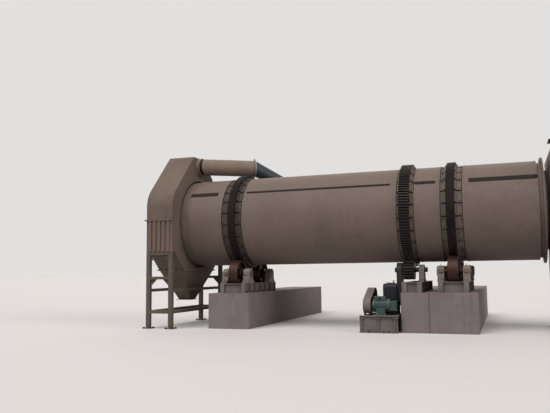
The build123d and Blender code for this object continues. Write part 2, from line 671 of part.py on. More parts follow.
def hopper():
    """Pyramid under the hood down to a square outlet flange."""
    middle = (HOOD_BACK + HOOD_FRONT) / 2
    half_length = (HOOD_FRONT - HOOD_BACK) / 2
    outlet = HOPPER_OUTLET / 2
    plate = HOOD_PLATE
    outer = frustum(
        (outlet + plate, outlet + plate, HOPPER_OUTLET_HEIGHT), (half_length, HOOD_BOTTOM_HALF, HOOD_BOTTOM)
    )
    inner = frustum(
        (outlet, outlet, HOPPER_OUTLET_HEIGHT),
        (half_length - plate, HOOD_BOTTOM_HALF - plate, HOOD_BOTTOM),
    )
    low = HOPPER_OUTLET_HEIGHT - HOPPER_FLANGE_THICKNESS
    half = HOPPER_FLANGE / 2
    flange = block((-half, half), (-half, half), (low, HOPPER_OUTLET_HEIGHT))
    flange -= block((-outlet, outlet), (-outlet, outlet), (low - 1, HOPPER_OUTLET_HEIGHT + 1))
    bolt = HOPPER_BOLT_SPACING / 2
    for x in (-bolt, bolt):
        for y in (-bolt, bolt):
            flange -= Pos(x, y, low) * Cylinder(BOLT_HOLE_RADIUS, 4 * HOPPER_FLANGE_THICKNESS)
    joint = hopper_joint(HOOD_BOTTOM - HOOD_FLANGE_THICKNESS, HOOD_BOTTOM)
    return Pos(middle, 0, 0) * ((outer - inner) + flange) + joint


def posts(x_lines, y_lines, top):
    """Four posts on foot plates."""
    spread = (FOOT_PLATE - POST) / 2
    legs = None
    for x in x_lines:
        for y in y_lines:
            leg = block((x, x + POST), (y, y + POST), (0, top))
            foot_x = (x - spread, x + POST + spread)
            foot_y = (y - spread, y + POST + spread)
            leg += block(foot_x, foot_y, (0, FOOT_PLATE_THICKNESS))
            legs = leg if legs is None else legs + leg
    return legs


def hood_frame():
    """Beams with knee gussets on four posts."""
    x_lines = (HOOD_BACK, HOOD_FRONT - POST)
    y_lines = (-HOOD_HALF_WIDTH, HOOD_HALF_WIDTH - POST)
    top = HOOD_LEDGE_HEIGHT
    frame = posts(x_lines, y_lines, top)
    for y in y_lines:
        beams = ((top - TOP_BEAM, TOP_BEAM), (MID_BEAM_HEIGHT, MID_BEAM), (LOW_BEAM_HEIGHT, MID_BEAM))
        for low, depth in beams:
            frame += block((HOOD_BACK, HOOD_FRONT), (y, y + POST), (low, low + depth))
        for low in (top - TOP_BEAM, MID_BEAM_HEIGHT):
            plane = y + POST / 2
            for corner, side in ((HOOD_BACK + POST, 1), (HOOD_FRONT - POST, -1)):
                knee = polygon([(corner, low), (corner + side * GUSSET, low), (corner, low - GUSSET)])
                lift = Pos(0, plane - GUSSET_THICKNESS / 2, 0) * Rot(90, 0, 0) * knee
                frame += extrude(lift, GUSSET_THICKNESS, dir=(0, 1, 0))
    for x in x_lines:
        for low in (CROSS_BEAM_HEIGHT, LOW_BEAM_HEIGHT):
            frame += block((x, x + POST), (-HOOD_HALF_WIDTH, HOOD_HALF_WIDTH), (low, low + MID_BEAM))
    return frame


# Exhaust duct


def duct_collar():
    """Short collar on the hood, with an end plate that carries the narrower sleeve."""
    collar = tube(0, COLLAR_LENGTH, COLLAR_RADIUS, DUCT_RADIUS - DUCT_WALL)
    collar += tube(COLLAR_LENGTH - COLLAR_PLATE, COLLAR_LENGTH, COLLAR_RADIUS, SLEEVE_BORE)
    return duct_place() * collar


def duct_sleeve():
    return duct_place() * tube(COLLAR_LENGTH, COLLAR_LENGTH + SLEEVE_LENGTH, SLEEVE_RADIUS, SLEEVE_BORE)


def round_plane(origin, direction):
    """Plane across a pipe, with its X direction as near to upright as it can be."""
    along = Vector(*direction).normalized()
    upright = Vector(0, 0, 1) - along * along.Z
    return Plane(origin, x_dir=upright, z_dir=along)


DUCT_HEADING = Vector(math.cos(math.radians(DUCT_TURN)), math.sin(math.radians(DUCT_TURN)), 0)
DUCT_START = Vector(HOOD_FRONT + COLLAR_LENGTH + SLEEVE_LENGTH, 0, DUCT_HEIGHT)
DUCT_MOUTH = DUCT_START + DUCT_HEADING * DUCT_LENGTH


def in_lengths(pipe, start, heading, welds):
    """The lengths of a pipe between its welds, each weld at a distance from the pipe's start."""
    lengths = []
    for distance in welds:
        weld = round_plane(start + heading * distance, heading)
        lengths.append(split(pipe, bisect_by=weld, keep=Keep.BOTTOM))
        pipe = split(pipe, bisect_by=weld, keep=Keep.TOP)
    return lengths + [pipe]


def exhaust_duct():
    """Pipe in two lengths, cut on a mitre at the sleeve, with a flange ring at its far end."""
    back = 2 * DUCT_RADIUS
    length = DUCT_LENGTH + back
    place = round_plane(DUCT_START - DUCT_HEADING * back, DUCT_HEADING)
    outer = place * Pos(0, 0, length / 2) * Cylinder(DUCT_RADIUS, length)
    inner = place * Pos(0, 0, length / 2) * Cylinder(DUCT_RADIUS - DUCT_WALL, length + 2)
    start = DUCT_START.X
    plate = outer & block((start, start + COLLAR_PLATE), (-FAR, FAR), (0, FAR))
    plate -= Pos(start, 0, DUCT_HEIGHT) * tube(-THROUGH, THROUGH, SLEEVE_BORE)
    ahead = block((start, FAR), (-FAR, FAR), (0, FAR))
    pipe = ((outer - inner) & ahead) + plate
    ring = Cylinder(DUCT_RING_RADIUS, DUCT_RING_LENGTH)
    ring -= Cylinder(DUCT_RADIUS - DUCT_WALL, 2 * DUCT_RING_LENGTH)
    pipe += round_plane(DUCT_MOUTH, DUCT_HEADING) * Pos(0, 0, -DUCT_RING_LENGTH / 2) * ring
    return in_lengths(pipe, DUCT_START, DUCT_HEADING, DUCT_WELDS)


BRANCH_MOUTH = DUCT_MOUTH + Vector(*BRANCH_REACH)
BRANCH_HEADING = (BRANCH_MOUTH - DUCT_MOUTH).normalized()
BRANCH_PLANE = round_plane(BRANCH_MOUTH, BRANCH_HEADING)


def duct_branch():
    """Tapered branch, rolled in lengths, that leads down behind the drum."""
    mouth = round_plane(DUCT_MOUTH, DUCT_HEADING)
    outer = loft([mouth * Circle(DUCT_RADIUS), BRANCH_PLANE * Circle(BRANCH_RADIUS)])
    inner = loft([mouth * Circle(DUCT_RADIUS - DUCT_WALL), BRANCH_PLANE * Circle(BRANCH_RADIUS - DUCT_WALL)])
    return in_lengths(outer - inner, DUCT_MOUTH, BRANCH_HEADING, BRANCH_WELDS)


def branch_flange():
    """Bolting flange at the branch's small end."""
    ring = Cylinder(BRANCH_FLANGE_RADIUS, BRANCH_FLANGE_THICKNESS)
    ring -= Cylinder(BRANCH_RADIUS - DUCT_WALL, 2 * BRANCH_FLANGE_THICKNESS)
    for place in PolarLocations(BRANCH_BOLT_CIRCLE, BRANCH_BOLTS):
        ring -= place * Cylinder(BOLT_HOLE_RADIUS, 2 * BRANCH_FLANGE_THICKNESS)
    return BRANCH_PLANE * Pos(0, 0, BRANCH_FLANGE_THICKNESS / 2) * ring


# Drive

REDUCER_AXIS = (PINION_Y, REDUCER_INPUT_HEIGHT)       # across, up
MOTOR_AXIS = (PINION_Y - MOTOR_OFFSET, MOTOR_HEIGHT)


def motor():
    """Finned motor with end bells, a fan cowl, a brake housing, feet and a terminal box."""
    start, end = MOTOR_START, MOTOR_START + MOTOR_LENGTH
    nose_length, nose_radius = MOTOR_NOSE
    bell = start + nose_length
    fins = bell + MOTOR_BELL
    cowl = end - MOTOR_COWL
    rim = MOTOR_RADIUS + MOTOR_RIM
    root = MOTOR_RADIUS - MOTOR_FIN_DEPTH
    body = tube(fins, cowl, root)
    fin = block((fins, cowl), (-MOTOR_FIN_THICKNESS / 2, MOTOR_FIN_THICKNESS / 2), (0, MOTOR_RADIUS))
    for i in range(MOTOR_FIN_COUNT):
        body += Rot(i * 360 / MOTOR_FIN_COUNT, 0, 0) * fin
    body += tube(bell, fins, rim) + tube(cowl, end, rim) + tube(start, bell, nose_radius)
    body += tube(BELT_STATION - PULLEY_FACE / 2, start, MOTOR_SHAFT_RADIUS)
    tail, width = MOTOR_TAIL
    body += block((end, end + tail), (-width / 2, width / 2), (-width / 2, width / 2))
    middle = (fins + cowl) / 2
    length, width, height = TERMINAL_BOX
    body += Pos(middle, 0, root + height / 2) * Box(length, width, height)
    sole = SKID_TOP - MOTOR_HEIGHT
    length, width, height = MOTOR_FOOT
    web_length, web = MOTOR_FOOT_WEB
    web_height = -sole - MOTOR_RADIUS / 3
    for side in (-1, 1):
        offset = side * MOTOR_FOOT_OFFSET
        body += Pos(middle, offset, sole + height / 2) * Box(length, width, height)
        body += Pos(middle, offset, sole + web_height / 2) * Box(web_length, web, web_height)
    return Pos(0, *MOTOR_AXIS) * body


def pulley(radius):
    """Pulley with a rim, a thin web and a hub, centred at the belts' station."""
    half = PULLEY_FACE / 2
    bore = MOTOR_SHAFT_RADIUS + FACE_GAP
    wheel = tube(-half, half, radius, radius - PULLEY_RIM)
    wheel += tube(-PULLEY_WEB / 2, PULLEY_WEB / 2, radius - PULLEY_RIM, bore)
    return wheel + tube(-half, half, bore + PULLEY_HUB, bore)


def belt_pulleys():
    small = Pos(BELT_STATION, *MOTOR_AXIS) * pulley(MOTOR_PULLEY_RADIUS)
    large = Pos(BELT_STATION, *REDUCER_AXIS) * pulley(REDUCER_PULLEY_RADIUS)
    return Compound([small, large])


def around_pulleys(first_radius, second_radius):
    """Outline in (Y, Z) stretched round the motor's and the reducer's pulleys."""
    first, second = Vector(*MOTOR_AXIS), Vector(*REDUCER_AXIS)
    span = second - first
    heading = math.atan2(span.Y, span.X)
    lean = math.acos((first_radius - second_radius) / span.length)
    corners = []
    for sign in (1, -1):
        angle = heading + sign * lean
        unit = Vector(math.cos(angle), math.sin(angle))
        corners.append((first + unit * first_radius, second + unit * second_radius))
    (a, b), (c, d) = corners
    quad = polygon([(a.X, a.Y), (b.X, b.Y), (d.X, d.Y), (c.X, c.Y)])
    return quad + Pos(*MOTOR_AXIS) * Circle(first_radius) + Pos(*REDUCER_AXIS) * Circle(second_radius)


def drive_belts():
    """The set of V-belts as one fixed loop."""
    small, large = MOTOR_PULLEY_RADIUS + FACE_GAP, REDUCER_PULLEY_RADIUS + FACE_GAP
    loop = around_pulleys(small + BELT_THICKNESS, large + BELT_THICKNESS) - around_pulleys(small, large)
    return across(loop, BELT_STATION - BELT_WIDTH / 2, BELT_STATION + BELT_WIDTH / 2)


def belt_guard():
    """Rounded sheet guard over the belts, open towards the motor."""
    small = MOTOR_PULLEY_RADIUS + GUARD_CLEARANCE
    large = REDUCER_PULLEY_RADIUS + GUARD_CLEARANCE
    start, end = BELT_STATION - GUARD_WIDTH / 2, BELT_STATION + GUARD_WIDTH / 2
    inside = around_pulleys(small - GUARD_WALL, large - GUARD_WALL)
    shell = across(around_pulleys(small, large), start, end)
    shell -= across(inside, start + GUARD_WALL, end + GUARD_WALL)
    length, width = GUARD_LEG
    for (y, z), radius in ((MOTOR_AXIS, small), (REDUCER_AXIS, large)):
        leg_z = (SKID_TOP - SKID_TIE_DROP, z - radius + GUARD_WALL)
        shell += block((start, start + length), (y - width / 2, y + width / 2), leg_z)
    return shell


def reducer():
    """Gear reducer with a split housing and a narrow offset output case."""
    half = REDUCER_HALF_WIDTH
    sole = STAND_TOP - REDUCER_INPUT_HEIGHT
    body = block((REDUCER_START, REDUCER_END), (-half, half), (sole, REDUCER_TOP))
    body = chamfer(body.edges().filter_by(Axis.X).group_by(Axis.Z)[-1], REDUCER_EDGE)
    flanged = (REDUCER_START - REDUCER_RIM, REDUCER_END)
    reach, thickness = REDUCER_SPLIT
    body += block(flanged, (-half - reach, half + reach), (-thickness / 2, thickness / 2))
    reach, thickness = REDUCER_FOOT
    body += block(flanged, (-half - reach, half + reach), (sole, sole + thickness))
    output = AXIS_HEIGHT + PINION_W * COS + (REDUCER_END + OUTPUT_CASE_END) / 2 * SIN - REDUCER_INPUT_HEIGHT
    wide = OUTPUT_CASE_RADIUS
    case = polygon([(-wide, 0), (wide, 0), (wide, output), (-wide, output)]) + Circle(wide)
    body += across(case + Pos(0, output) * Circle(wide), REDUCER_END, OUTPUT_CASE_END)
    body += tube(BELT_STATION - PULLEY_FACE / 2, REDUCER_START, MOTOR_SHAFT_RADIUS)
    body = Pos(0, *REDUCER_AXIS) * body
    seat_start = PINION_SHAFT_START - SHAFT_CLEARANCE
    seat = tube(seat_start, PINION_SHAFT_END, PINION_SHAFT_RADIUS + SHAFT_CLEARANCE)
    return body - DRUM * Pos(0, PINION_Y, PINION_W) * seat


def drive_base():
    """Skid of beams and ties with a raised stand for the reducer."""
    reducer_y, motor_y = REDUCER_AXIS[0], MOTOR_AXIS[0]
    plate, thickness = MOTOR_PLATE
    foot = REDUCER_HALF_WIDTH + REDUCER_FOOT[0]
    near, far = reducer_y - foot, reducer_y + foot
    front, back = motor_y - SKID_IN_FRONT, far + SKID_BEHIND
    beam = SKID_BEAM[0]
    middle_beam = motor_y + (plate + beam) / 2
    base = None
    for y in (front + beam / 2, middle_beam, back - beam / 2):
        rail = i_beam(y, (SKID_START, SKID_END), (0, SKID_TOP), SKID_BEAM, along=True)
        base = rail if base is None else base + rail
    for x in (SKID_START + beam / 2, (SKID_START + SKID_END) / 2, SKID_END - beam / 2):
        base += i_beam(x, (front, back), (0, SKID_TOP - SKID_TIE_DROP), SKID_BEAM)
    base += block((MOTOR_START, SKID_END), (front, middle_beam), (SKID_TOP - thickness, SKID_TOP))
    stand_x = (REDUCER_START, REDUCER_END)
    base += block(stand_x, (near, far), (SKID_TOP - STAND_PLATE, SKID_TOP))
    for y in (near + STAND_INSET, far - STAND_INSET - STAND_LEG):
        base += block(stand_x, (y, y + STAND_LEG), (SKID_TOP - STAND_PLATE, STAND_TOP))
    top_plate = (STAND_TOP - STAND_PLATE, STAND_TOP)
    return base + block((REDUCER_START - REDUCER_RIM, REDUCER_END), (near, far), top_plate)


# Feed end


def feed_housing():
    """Fixed box that the drum's neck turns in."""
    plate = HOUSING_PLATE
    wide = HOUSING_HALF_WIDTH
    box = block((HOUSING_START, HOUSING_END), (-wide, wide), (HOUSING_BOTTOM, HOUSING_TOP))
    box -= block(
        (HOUSING_START + plate, HOUSING_END - plate), (-wide + plate, wide - plate),
        (HOUSING_BOTTOM + plate, HOUSING_TOP - plate),
    )
    box -= DRUM * tube(HOUSING_START - THROUGH, HOUSING_START + THROUGH, NECK_RADIUS + NECK_CLEARANCE)
    box -= Pos(HOUSING_END, 0, INLET_HEIGHT) * tube(-THROUGH, THROUGH, INLET_RADIUS - INLET_WALL)
    half = CHUTE_WIDTH / 2 - CHUTE_WALL
    middle = (HOUSING_START + HOUSING_END) / 2
    roof = (HOUSING_TOP - THROUGH, HOUSING_TOP + THROUGH)
    return box - block((middle - half, middle + half), (-half, half), roof)


def feed_chute():
    """Square chute on the housing's roof, with a bolting flange."""
    middle = (HOUSING_START + HOUSING_END) / 2
    outer, inner = CHUTE_WIDTH / 2, CHUTE_WIDTH / 2 - CHUTE_WALL
    top = CHUTE_RISE
    chute = block((-outer, outer), (-outer, outer), (0, top))
    half = CHUTE_FLANGE / 2
    chute += block((-half, half), (-half, half), (top - CHUTE_FLANGE_THICKNESS, top))
    chute -= block((-inner, inner), (-inner, inner), (-1, top + 1))
    bolt = CHUTE_BOLT_SPACING / 2
    for x in (-bolt, bolt):
        for y in (-bolt, bolt):
            chute -= Pos(x, y, top) * Cylinder(BOLT_HOLE_RADIUS, 4 * CHUTE_FLANGE_THICKNESS)
    return Pos(middle, 0, HOUSING_TOP) * chute


def gas_inlet():
    """Round inlet spigot with a bolting flange on the end wall."""
    inside = INLET_RADIUS - INLET_WALL
    spigot = tube(0, INLET_LENGTH, INLET_RADIUS, inside)
    spigot += tube(INLET_LENGTH - INLET_FLANGE_THICKNESS, INLET_LENGTH, INLET_FLANGE_RADIUS, inside)
    for place in PolarLocations(INLET_BOLT_CIRCLE, INLET_BOLTS):
        hole = Cylinder(BOLT_HOLE_RADIUS, 4 * INLET_FLANGE_THICKNESS)
        spigot -= Pos(INLET_LENGTH, 0, 0) * ALONG * place * hole
    return Pos(HOUSING_END, 0, INLET_HEIGHT) * spigot


def feed_frame():
    """Four posts and two rings of beams under the feed housing."""
    x_lines = (HOUSING_START, HOUSING_END - POST)
    y_lines = (-HOUSING_HALF_WIDTH, HOUSING_HALF_WIDTH - POST)
    frame = posts(x_lines, y_lines, HOUSING_BOTTOM)
    for low, depth in ((HOUSING_BOTTOM - TOP_BEAM, TOP_BEAM), (LOW_BEAM_HEIGHT, MID_BEAM)):
        for y in y_lines:
            frame += block((HOUSING_START, HOUSING_END), (y, y + POST), (low, low + depth))
        for x in x_lines:
            frame += block((x, x + POST), (-HOUSING_HALF_WIDTH, HOUSING_HALF_WIDTH), (low, low + depth))
    return frame


# Assembly

parts["drum_shell"] = drum_shell()
parts["lifting_flights"] = lifting_flights()
for name, (start, end) in JACKET_SPANS.items():
    parts[name] = jacket(start, end)
parts["jacket_seams"] = jacket_seams()
parts["seal_band"] = seal_band()
parts["end_flange"] = end_flange()
for name, station in RING_STATIONS.items():
    parts[f"riding_ring_{name}"] = riding_ring(station)
    parts[f"ring_chairs_{name}"] = chairs(station, RING_WIDTH, RING_BORE, RING_GAPS[name])
    parts[f"roller_front_{name}"] = roller(station, -1)
    parts[f"roller_rear_{name}"] = roller(station, 1)
    parts[f"bearing_blocks_{name}"] = roller_blocks(station)
    reach = BLOCK_OFFSET + FRAME_FLANGE_WIDTH / 2
    parts[f"base_frame_{name}"] = base_frame(station - reach, station + reach)
parts["girth_gear"] = girth_gear()
parts["gear_chairs"] = chairs(GEAR_STATION, GEAR_FACE, RING_BORE, GEAR_GAPS)
parts["pinion"] = pinion()
parts["pinion_block"] = pinion_block()
parts["base_frame_gear"] = base_frame(GEAR_FRAME_START, GEAR_FRAME_START + GEAR_FRAME_LENGTH)
for name, (start, end) in PIER_SPANS.items():
    parts[name] = pier(start, end)
parts["hood_upper"] = hood_upper()
parts["hood_lower"] = hood_lower()
parts["hopper"] = hopper()
parts["hood_frame"] = hood_frame()
parts["duct_collar"] = duct_collar()
parts["duct_sleeve"] = duct_sleeve()
parts["exhaust_duct"], parts["duct_end"] = exhaust_duct()
parts["duct_branch"], parts["branch_middle"], parts["branch_end"] = duct_branch()
parts["branch_flange"] = branch_flange()
parts["motor"] = motor()
parts["belt_pulleys"] = belt_pulleys()
parts["drive_belts"] = drive_belts()
parts["belt_guard"] = belt_guard()
parts["reducer"] = reducer()
parts["drive_base"] = drive_base()
parts["feed_housing"] = feed_housing()
parts["feed_chute"] = feed_chute()
parts["gas_inlet"] = gas_inlet()
parts["feed_frame"] = feed_frame()

os.makedirs("parts", exist_ok=True)
for name, shape in parts.items():
    export_step(shape, f"parts/{name}.step")
print(len(parts), "parts written")
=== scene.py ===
# %% [markdown]
# # Rotary drum dryer
#
# A dryer of this kind is a long steel drum, wrapped in insulated jackets, that turns slowly on two
# riding rings. Wet material enters at the feed end, hot gas passes through, and both leave by the
# hood at the other end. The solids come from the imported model. This lesson gives them their
# finishes, and adds what a drawing office leaves out: bolts, cladding bands, belts and seals.

# %% Start
import json
import math

import bpy
from mathutils import Matrix, Vector


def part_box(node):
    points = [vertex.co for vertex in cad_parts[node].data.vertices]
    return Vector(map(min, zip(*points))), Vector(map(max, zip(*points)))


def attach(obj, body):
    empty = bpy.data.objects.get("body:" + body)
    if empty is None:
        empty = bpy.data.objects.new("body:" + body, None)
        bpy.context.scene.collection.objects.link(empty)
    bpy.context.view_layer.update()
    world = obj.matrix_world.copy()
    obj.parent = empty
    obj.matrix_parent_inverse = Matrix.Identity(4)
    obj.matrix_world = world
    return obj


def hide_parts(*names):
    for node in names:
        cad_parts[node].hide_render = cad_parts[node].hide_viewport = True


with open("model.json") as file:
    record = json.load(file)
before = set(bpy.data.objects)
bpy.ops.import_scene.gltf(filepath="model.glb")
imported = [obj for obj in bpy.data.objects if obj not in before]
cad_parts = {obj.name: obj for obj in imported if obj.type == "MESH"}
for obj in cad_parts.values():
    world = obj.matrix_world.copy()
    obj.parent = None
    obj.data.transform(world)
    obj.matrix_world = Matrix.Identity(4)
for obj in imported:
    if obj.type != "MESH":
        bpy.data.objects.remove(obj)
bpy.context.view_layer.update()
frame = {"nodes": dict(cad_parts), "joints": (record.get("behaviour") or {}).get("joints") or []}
nodes = frame["nodes"]
print(len(nodes), "solids loaded")

# %% [markdown]
# ## Where things are
#
# The drum leans a little, so everything that is fixed to it is placed along its own centre line.
# The line is read from the drum's joint, and a small function turns a station along the drum, a
# distance across and a height above the line into a point of the model.

# %% The drum's own directions
joints = {joint["name"]: joint for joint in frame["joints"]}
spin = joints["drum_spin"]
drum_origin = Vector(spin["pos_m"])
drum_along = Vector(spin["axis"]).normalized()
drum_up = Vector((-drum_along.z, 0, drum_along.x))


def on_drum(station, across, up):
    """A point beside or above the drum's centre line."""
    return drum_origin + drum_along * station + Vector((0, across, 0)) + drum_up * up


print("drum leans", round(math.degrees(math.asin(drum_along.z)), 2), "degrees")

# %% [markdown]
# ## Finishes
#
# Old machines share a few effects, whatever they are painted with: the colour is uneven, dust lies
# on what faces up, rain and oil run down, and edges lose their paint. Each effect is a node group,
# built once, and every material uses it with its own numbers.

# %% Making node groups


def new_group(name, inputs, outputs):
    """An empty shader group with the sockets named in inputs and outputs."""
    group = bpy.data.node_groups.new(name, "ShaderNodeTree")
    for label, kind, value in inputs:
        socket = group.interface.new_socket(label, in_out="INPUT", socket_type=kind)
        socket.default_value = value
    for label, kind in outputs:
        group.interface.new_socket(label, in_out="OUTPUT", socket_type=kind)
    return group, group.nodes.new("NodeGroupInput"), group.nodes.new("NodeGroupOutput")


def add_node(tree, kind, **settings):
    node = tree.nodes.new(kind)
    for name, value in settings.items():
        setattr(node, name, value)
    return node


def maths(tree, operation, first, second):
    """A Math node on two sockets or numbers."""
    node = add_node(tree, "ShaderNodeMath", operation=operation)
    for slot, value in enumerate((first, second)):
        if isinstance(value, (int, float)):
            node.inputs[slot].default_value = value
        else:
            tree.links.new(value, node.inputs[slot])
    return node.outputs[0]


def ramp(tree, value, low, high):
    """Stretches a value so that low becomes 0 and high becomes 1."""
    node = add_node(tree, "ShaderNodeMapRange", interpolation_type="SMOOTHSTEP")
    tree.links.new(value, node.inputs["Value"])
    for label, limit in (("From Min", low), ("From Max", high)):
        if isinstance(limit, (int, float)):
            node.inputs[label].default_value = limit
        else:
            tree.links.new(limit, node.inputs[label])
    return node.outputs["Result"]


def mix_colour(tree, amount, first, second):
    node = add_node(tree, "ShaderNodeMix", data_type="RGBA")
    for label, value in (("Factor", amount), ("A", first), ("B", second)):
        socket = next(s for s in node.inputs if s.name == label and s.enabled)
        if isinstance(value, bpy.types.NodeSocket):
            tree.links.new(value, socket)
        else:
            socket.default_value = value
    return next(s for s in node.outputs if s.enabled)


def noise(tree, vector, scale, detail=4.0, rough=0.55):
    node = add_node(tree, "ShaderNodeTexNoise")
    node.inputs["Detail"].default_value = detail
    node.inputs["Roughness"].default_value = rough
    tree.links.new(vector, node.inputs["Vector"])
    if isinstance(scale, (int, float)):
        node.inputs["Scale"].default_value = scale
    else:
        tree.links.new(scale, node.inputs["Scale"])
    return node.outputs["Fac"]


# %% Uneven paint
def make_uneven():
    """Large and small blotches that darken and lighten a colour."""
    group, given, result = new_group(
        "uneven paint",
        [("Colour", "NodeSocketColor", (0.5, 0.5, 0.5, 1)),
         ("Stain", "NodeSocketColor", (0.2, 0.15, 0.1, 1)),
         ("Blotch size", "NodeSocketFloat", 1.0), ("Stain amount", "NodeSocketFloat", 0.4)],
        [("Colour", "NodeSocketColor"), ("Blotches", "NodeSocketFloat")],
    )
    place = add_node(group, "ShaderNodeTexCoord").outputs["Object"]
    scale = maths(group, "DIVIDE", 1.0, given.outputs["Blotch size"])
    large = noise(group, place, scale, 5, 0.6)
    small = noise(group, place, maths(group, "MULTIPLY", scale, 9.0), 6, 0.65)
    large_part = maths(group, "MULTIPLY", large, 0.65)
    blend = maths(group, "ADD", large_part, maths(group, "MULTIPLY", small, 0.35))
    blotches = ramp(group, blend, 0.38, 0.68)
    amount = maths(group, "MULTIPLY", blotches, given.outputs["Stain amount"])
    stained = mix_colour(group, amount, given.outputs["Colour"], given.outputs["Stain"])
    group.links.new(stained, result.inputs["Colour"])
    group.links.new(blotches, result.inputs["Blotches"])
    return group


uneven = make_uneven()
print("uneven paint has", len(uneven.nodes), "nodes")

# %% Dust that settles on top
def make_dust():
    """Where a surface faces up, broken by noise."""
    group, given, result = new_group(
        "settled dust",
        [("Dust amount", "NodeSocketFloat", 0.5), ("Steepest", "NodeSocketFloat", 0.2)],
        [("Dust", "NodeSocketFloat")],
    )
    geometry = add_node(group, "ShaderNodeNewGeometry")
    parts = add_node(group, "ShaderNodeSeparateXYZ")
    group.links.new(geometry.outputs["Normal"], parts.inputs[0])
    place = add_node(group, "ShaderNodeTexCoord").outputs["Object"]
    upward = ramp(group, parts.outputs["Z"], given.outputs["Steepest"], 1.0)
    patches = ramp(group, noise(group, place, 7.0, 5), 0.25, 0.7)
    broken = maths(group, "ADD", maths(group, "MULTIPLY", patches, 0.5), 0.5)
    cover = maths(group, "MULTIPLY", upward, broken)
    group.links.new(maths(group, "MULTIPLY", cover, given.outputs["Dust amount"]), result.inputs["Dust"])
    return group


dust = make_dust()
print("dust has", len(dust.nodes), "nodes")

# %% Runs that trickle down
def make_runs():
    """Narrow upright streaks, as rain and oil leave on a wall."""
    group, given, result = new_group(
        "runs",
        [("Streaks per metre", "NodeSocketFloat", 14.0), ("Run amount", "NodeSocketFloat", 0.4)],
        [("Runs", "NodeSocketFloat")],
    )
    place = add_node(group, "ShaderNodeTexCoord").outputs["Object"]
    stretch = add_node(group, "ShaderNodeMapping")
    stretch.inputs["Scale"].default_value = (1.0, 1.0, 0.06)
    group.links.new(place, stretch.inputs["Vector"])
    streaks = ramp(group, noise(group, stretch.outputs[0], given.outputs["Streaks per metre"], 3), 0.5, 0.75)
    breaks = ramp(group, noise(group, place, 1.7, 3), 0.4, 0.65)
    both = maths(group, "MULTIPLY", streaks, breaks)
    group.links.new(maths(group, "MULTIPLY", both, given.outputs["Run amount"]), result.inputs["Runs"])
    return group


runs = make_runs()
print("runs have", len(runs.nodes), "nodes")

# %% Worn edges
def make_edge_wear():
    """A mask along outer edges, from the difference between a rounded and a true normal."""
    group, given, result = new_group(
        "worn edges",
        [("Wear amount", "NodeSocketFloat", 0.5)],
        [("Wear", "NodeSocketFloat")],
    )
    rounded = add_node(group, "ShaderNodeBevel", samples=4)
    rounded.inputs["Radius"].default_value = 0.006
    geometry = add_node(group, "ShaderNodeNewGeometry")
    alike = add_node(group, "ShaderNodeVectorMath", operation="DOT_PRODUCT")
    group.links.new(rounded.outputs[0], alike.inputs[0])
    group.links.new(geometry.outputs["Normal"], alike.inputs[1])
    place = add_node(group, "ShaderNodeTexCoord").outputs["Object"]
    edge = ramp(group, maths(group, "SUBTRACT", 1.0, alike.outputs["Value"]), 0.02, 0.2)
    chips = ramp(group, noise(group, place, 26.0, 5), 0.42, 0.62)
    chipped = maths(group, "MULTIPLY", edge, chips)
    wear = maths(group, "MULTIPLY", chipped, given.outputs["Wear amount"])
    group.links.new(wear, result.inputs["Wear"])
    return group


edge_wear = make_edge_wear()

# %% Fine roughness of a cast or sprayed surface
def make_grain():
    """Height and roughness that change over a few millimetres or a few centimetres."""
    group, given, result = new_group(
        "grain",
        [("Grain per metre", "NodeSocketFloat", 120.0), ("Dents per metre", "NodeSocketFloat", 4.0),
         ("Roughness low", "NodeSocketFloat", 0.5), ("Roughness high", "NodeSocketFloat", 0.8)],
        [("Height", "NodeSocketFloat"), ("Roughness", "NodeSocketFloat")],
    )
    place = add_node(group, "ShaderNodeTexCoord").outputs["Object"]
    fine = noise(group, place, given.outputs["Grain per metre"], 4)
    broad = noise(group, place, given.outputs["Dents per metre"], 2)
    fine_part = maths(group, "MULTIPLY", fine, 0.25)
    height = maths(group, "ADD", fine_part, maths(group, "MULTIPLY", broad, 0.75))
    middle = noise(group, place, maths(group, "MULTIPLY", given.outputs["Grain per metre"], 0.12), 5)
    span = maths(group, "SUBTRACT", given.outputs["Roughness high"], given.outputs["Roughness low"])
    rough = maths(group, "ADD", given.outputs["Roughness low"], maths(group, "MULTIPLY", middle, span))
    group.links.new(height, result.inputs["Height"])
    group.links.new(rough, result.inputs["Roughness"])
    return group


grain = make_grain()
print("effects:", [group.name for group in bpy.data.node_groups])

# %% [markdown]
# ## One recipe for painted and bare metal
#
# The Principled shader stays in each material, and only masks and colours come from the groups.
# Colours are written as they look on screen, from 0 to 255, because that is how they are compared
# with a photograph, and are turned into the linear values that Blender works with.

# %% Colours and the recipe


def screen(red, green, blue):
    """A colour as seen on screen, as the linear values of a shader."""
    def linear(value):
        value /= 255
        return value / 12.92 if value <= 0.04045 else ((value + 0.055) / 1.055) ** 2.4
    return (linear(red), linear(green), linear(blue), 1.0)


def place_group(tree, group, **values):
    node = tree.nodes.new("ShaderNodeGroup")
    node.node_tree = group
    for label, value in values.items():
        node.inputs[label.replace("_", " ")].default_value = value
    return node


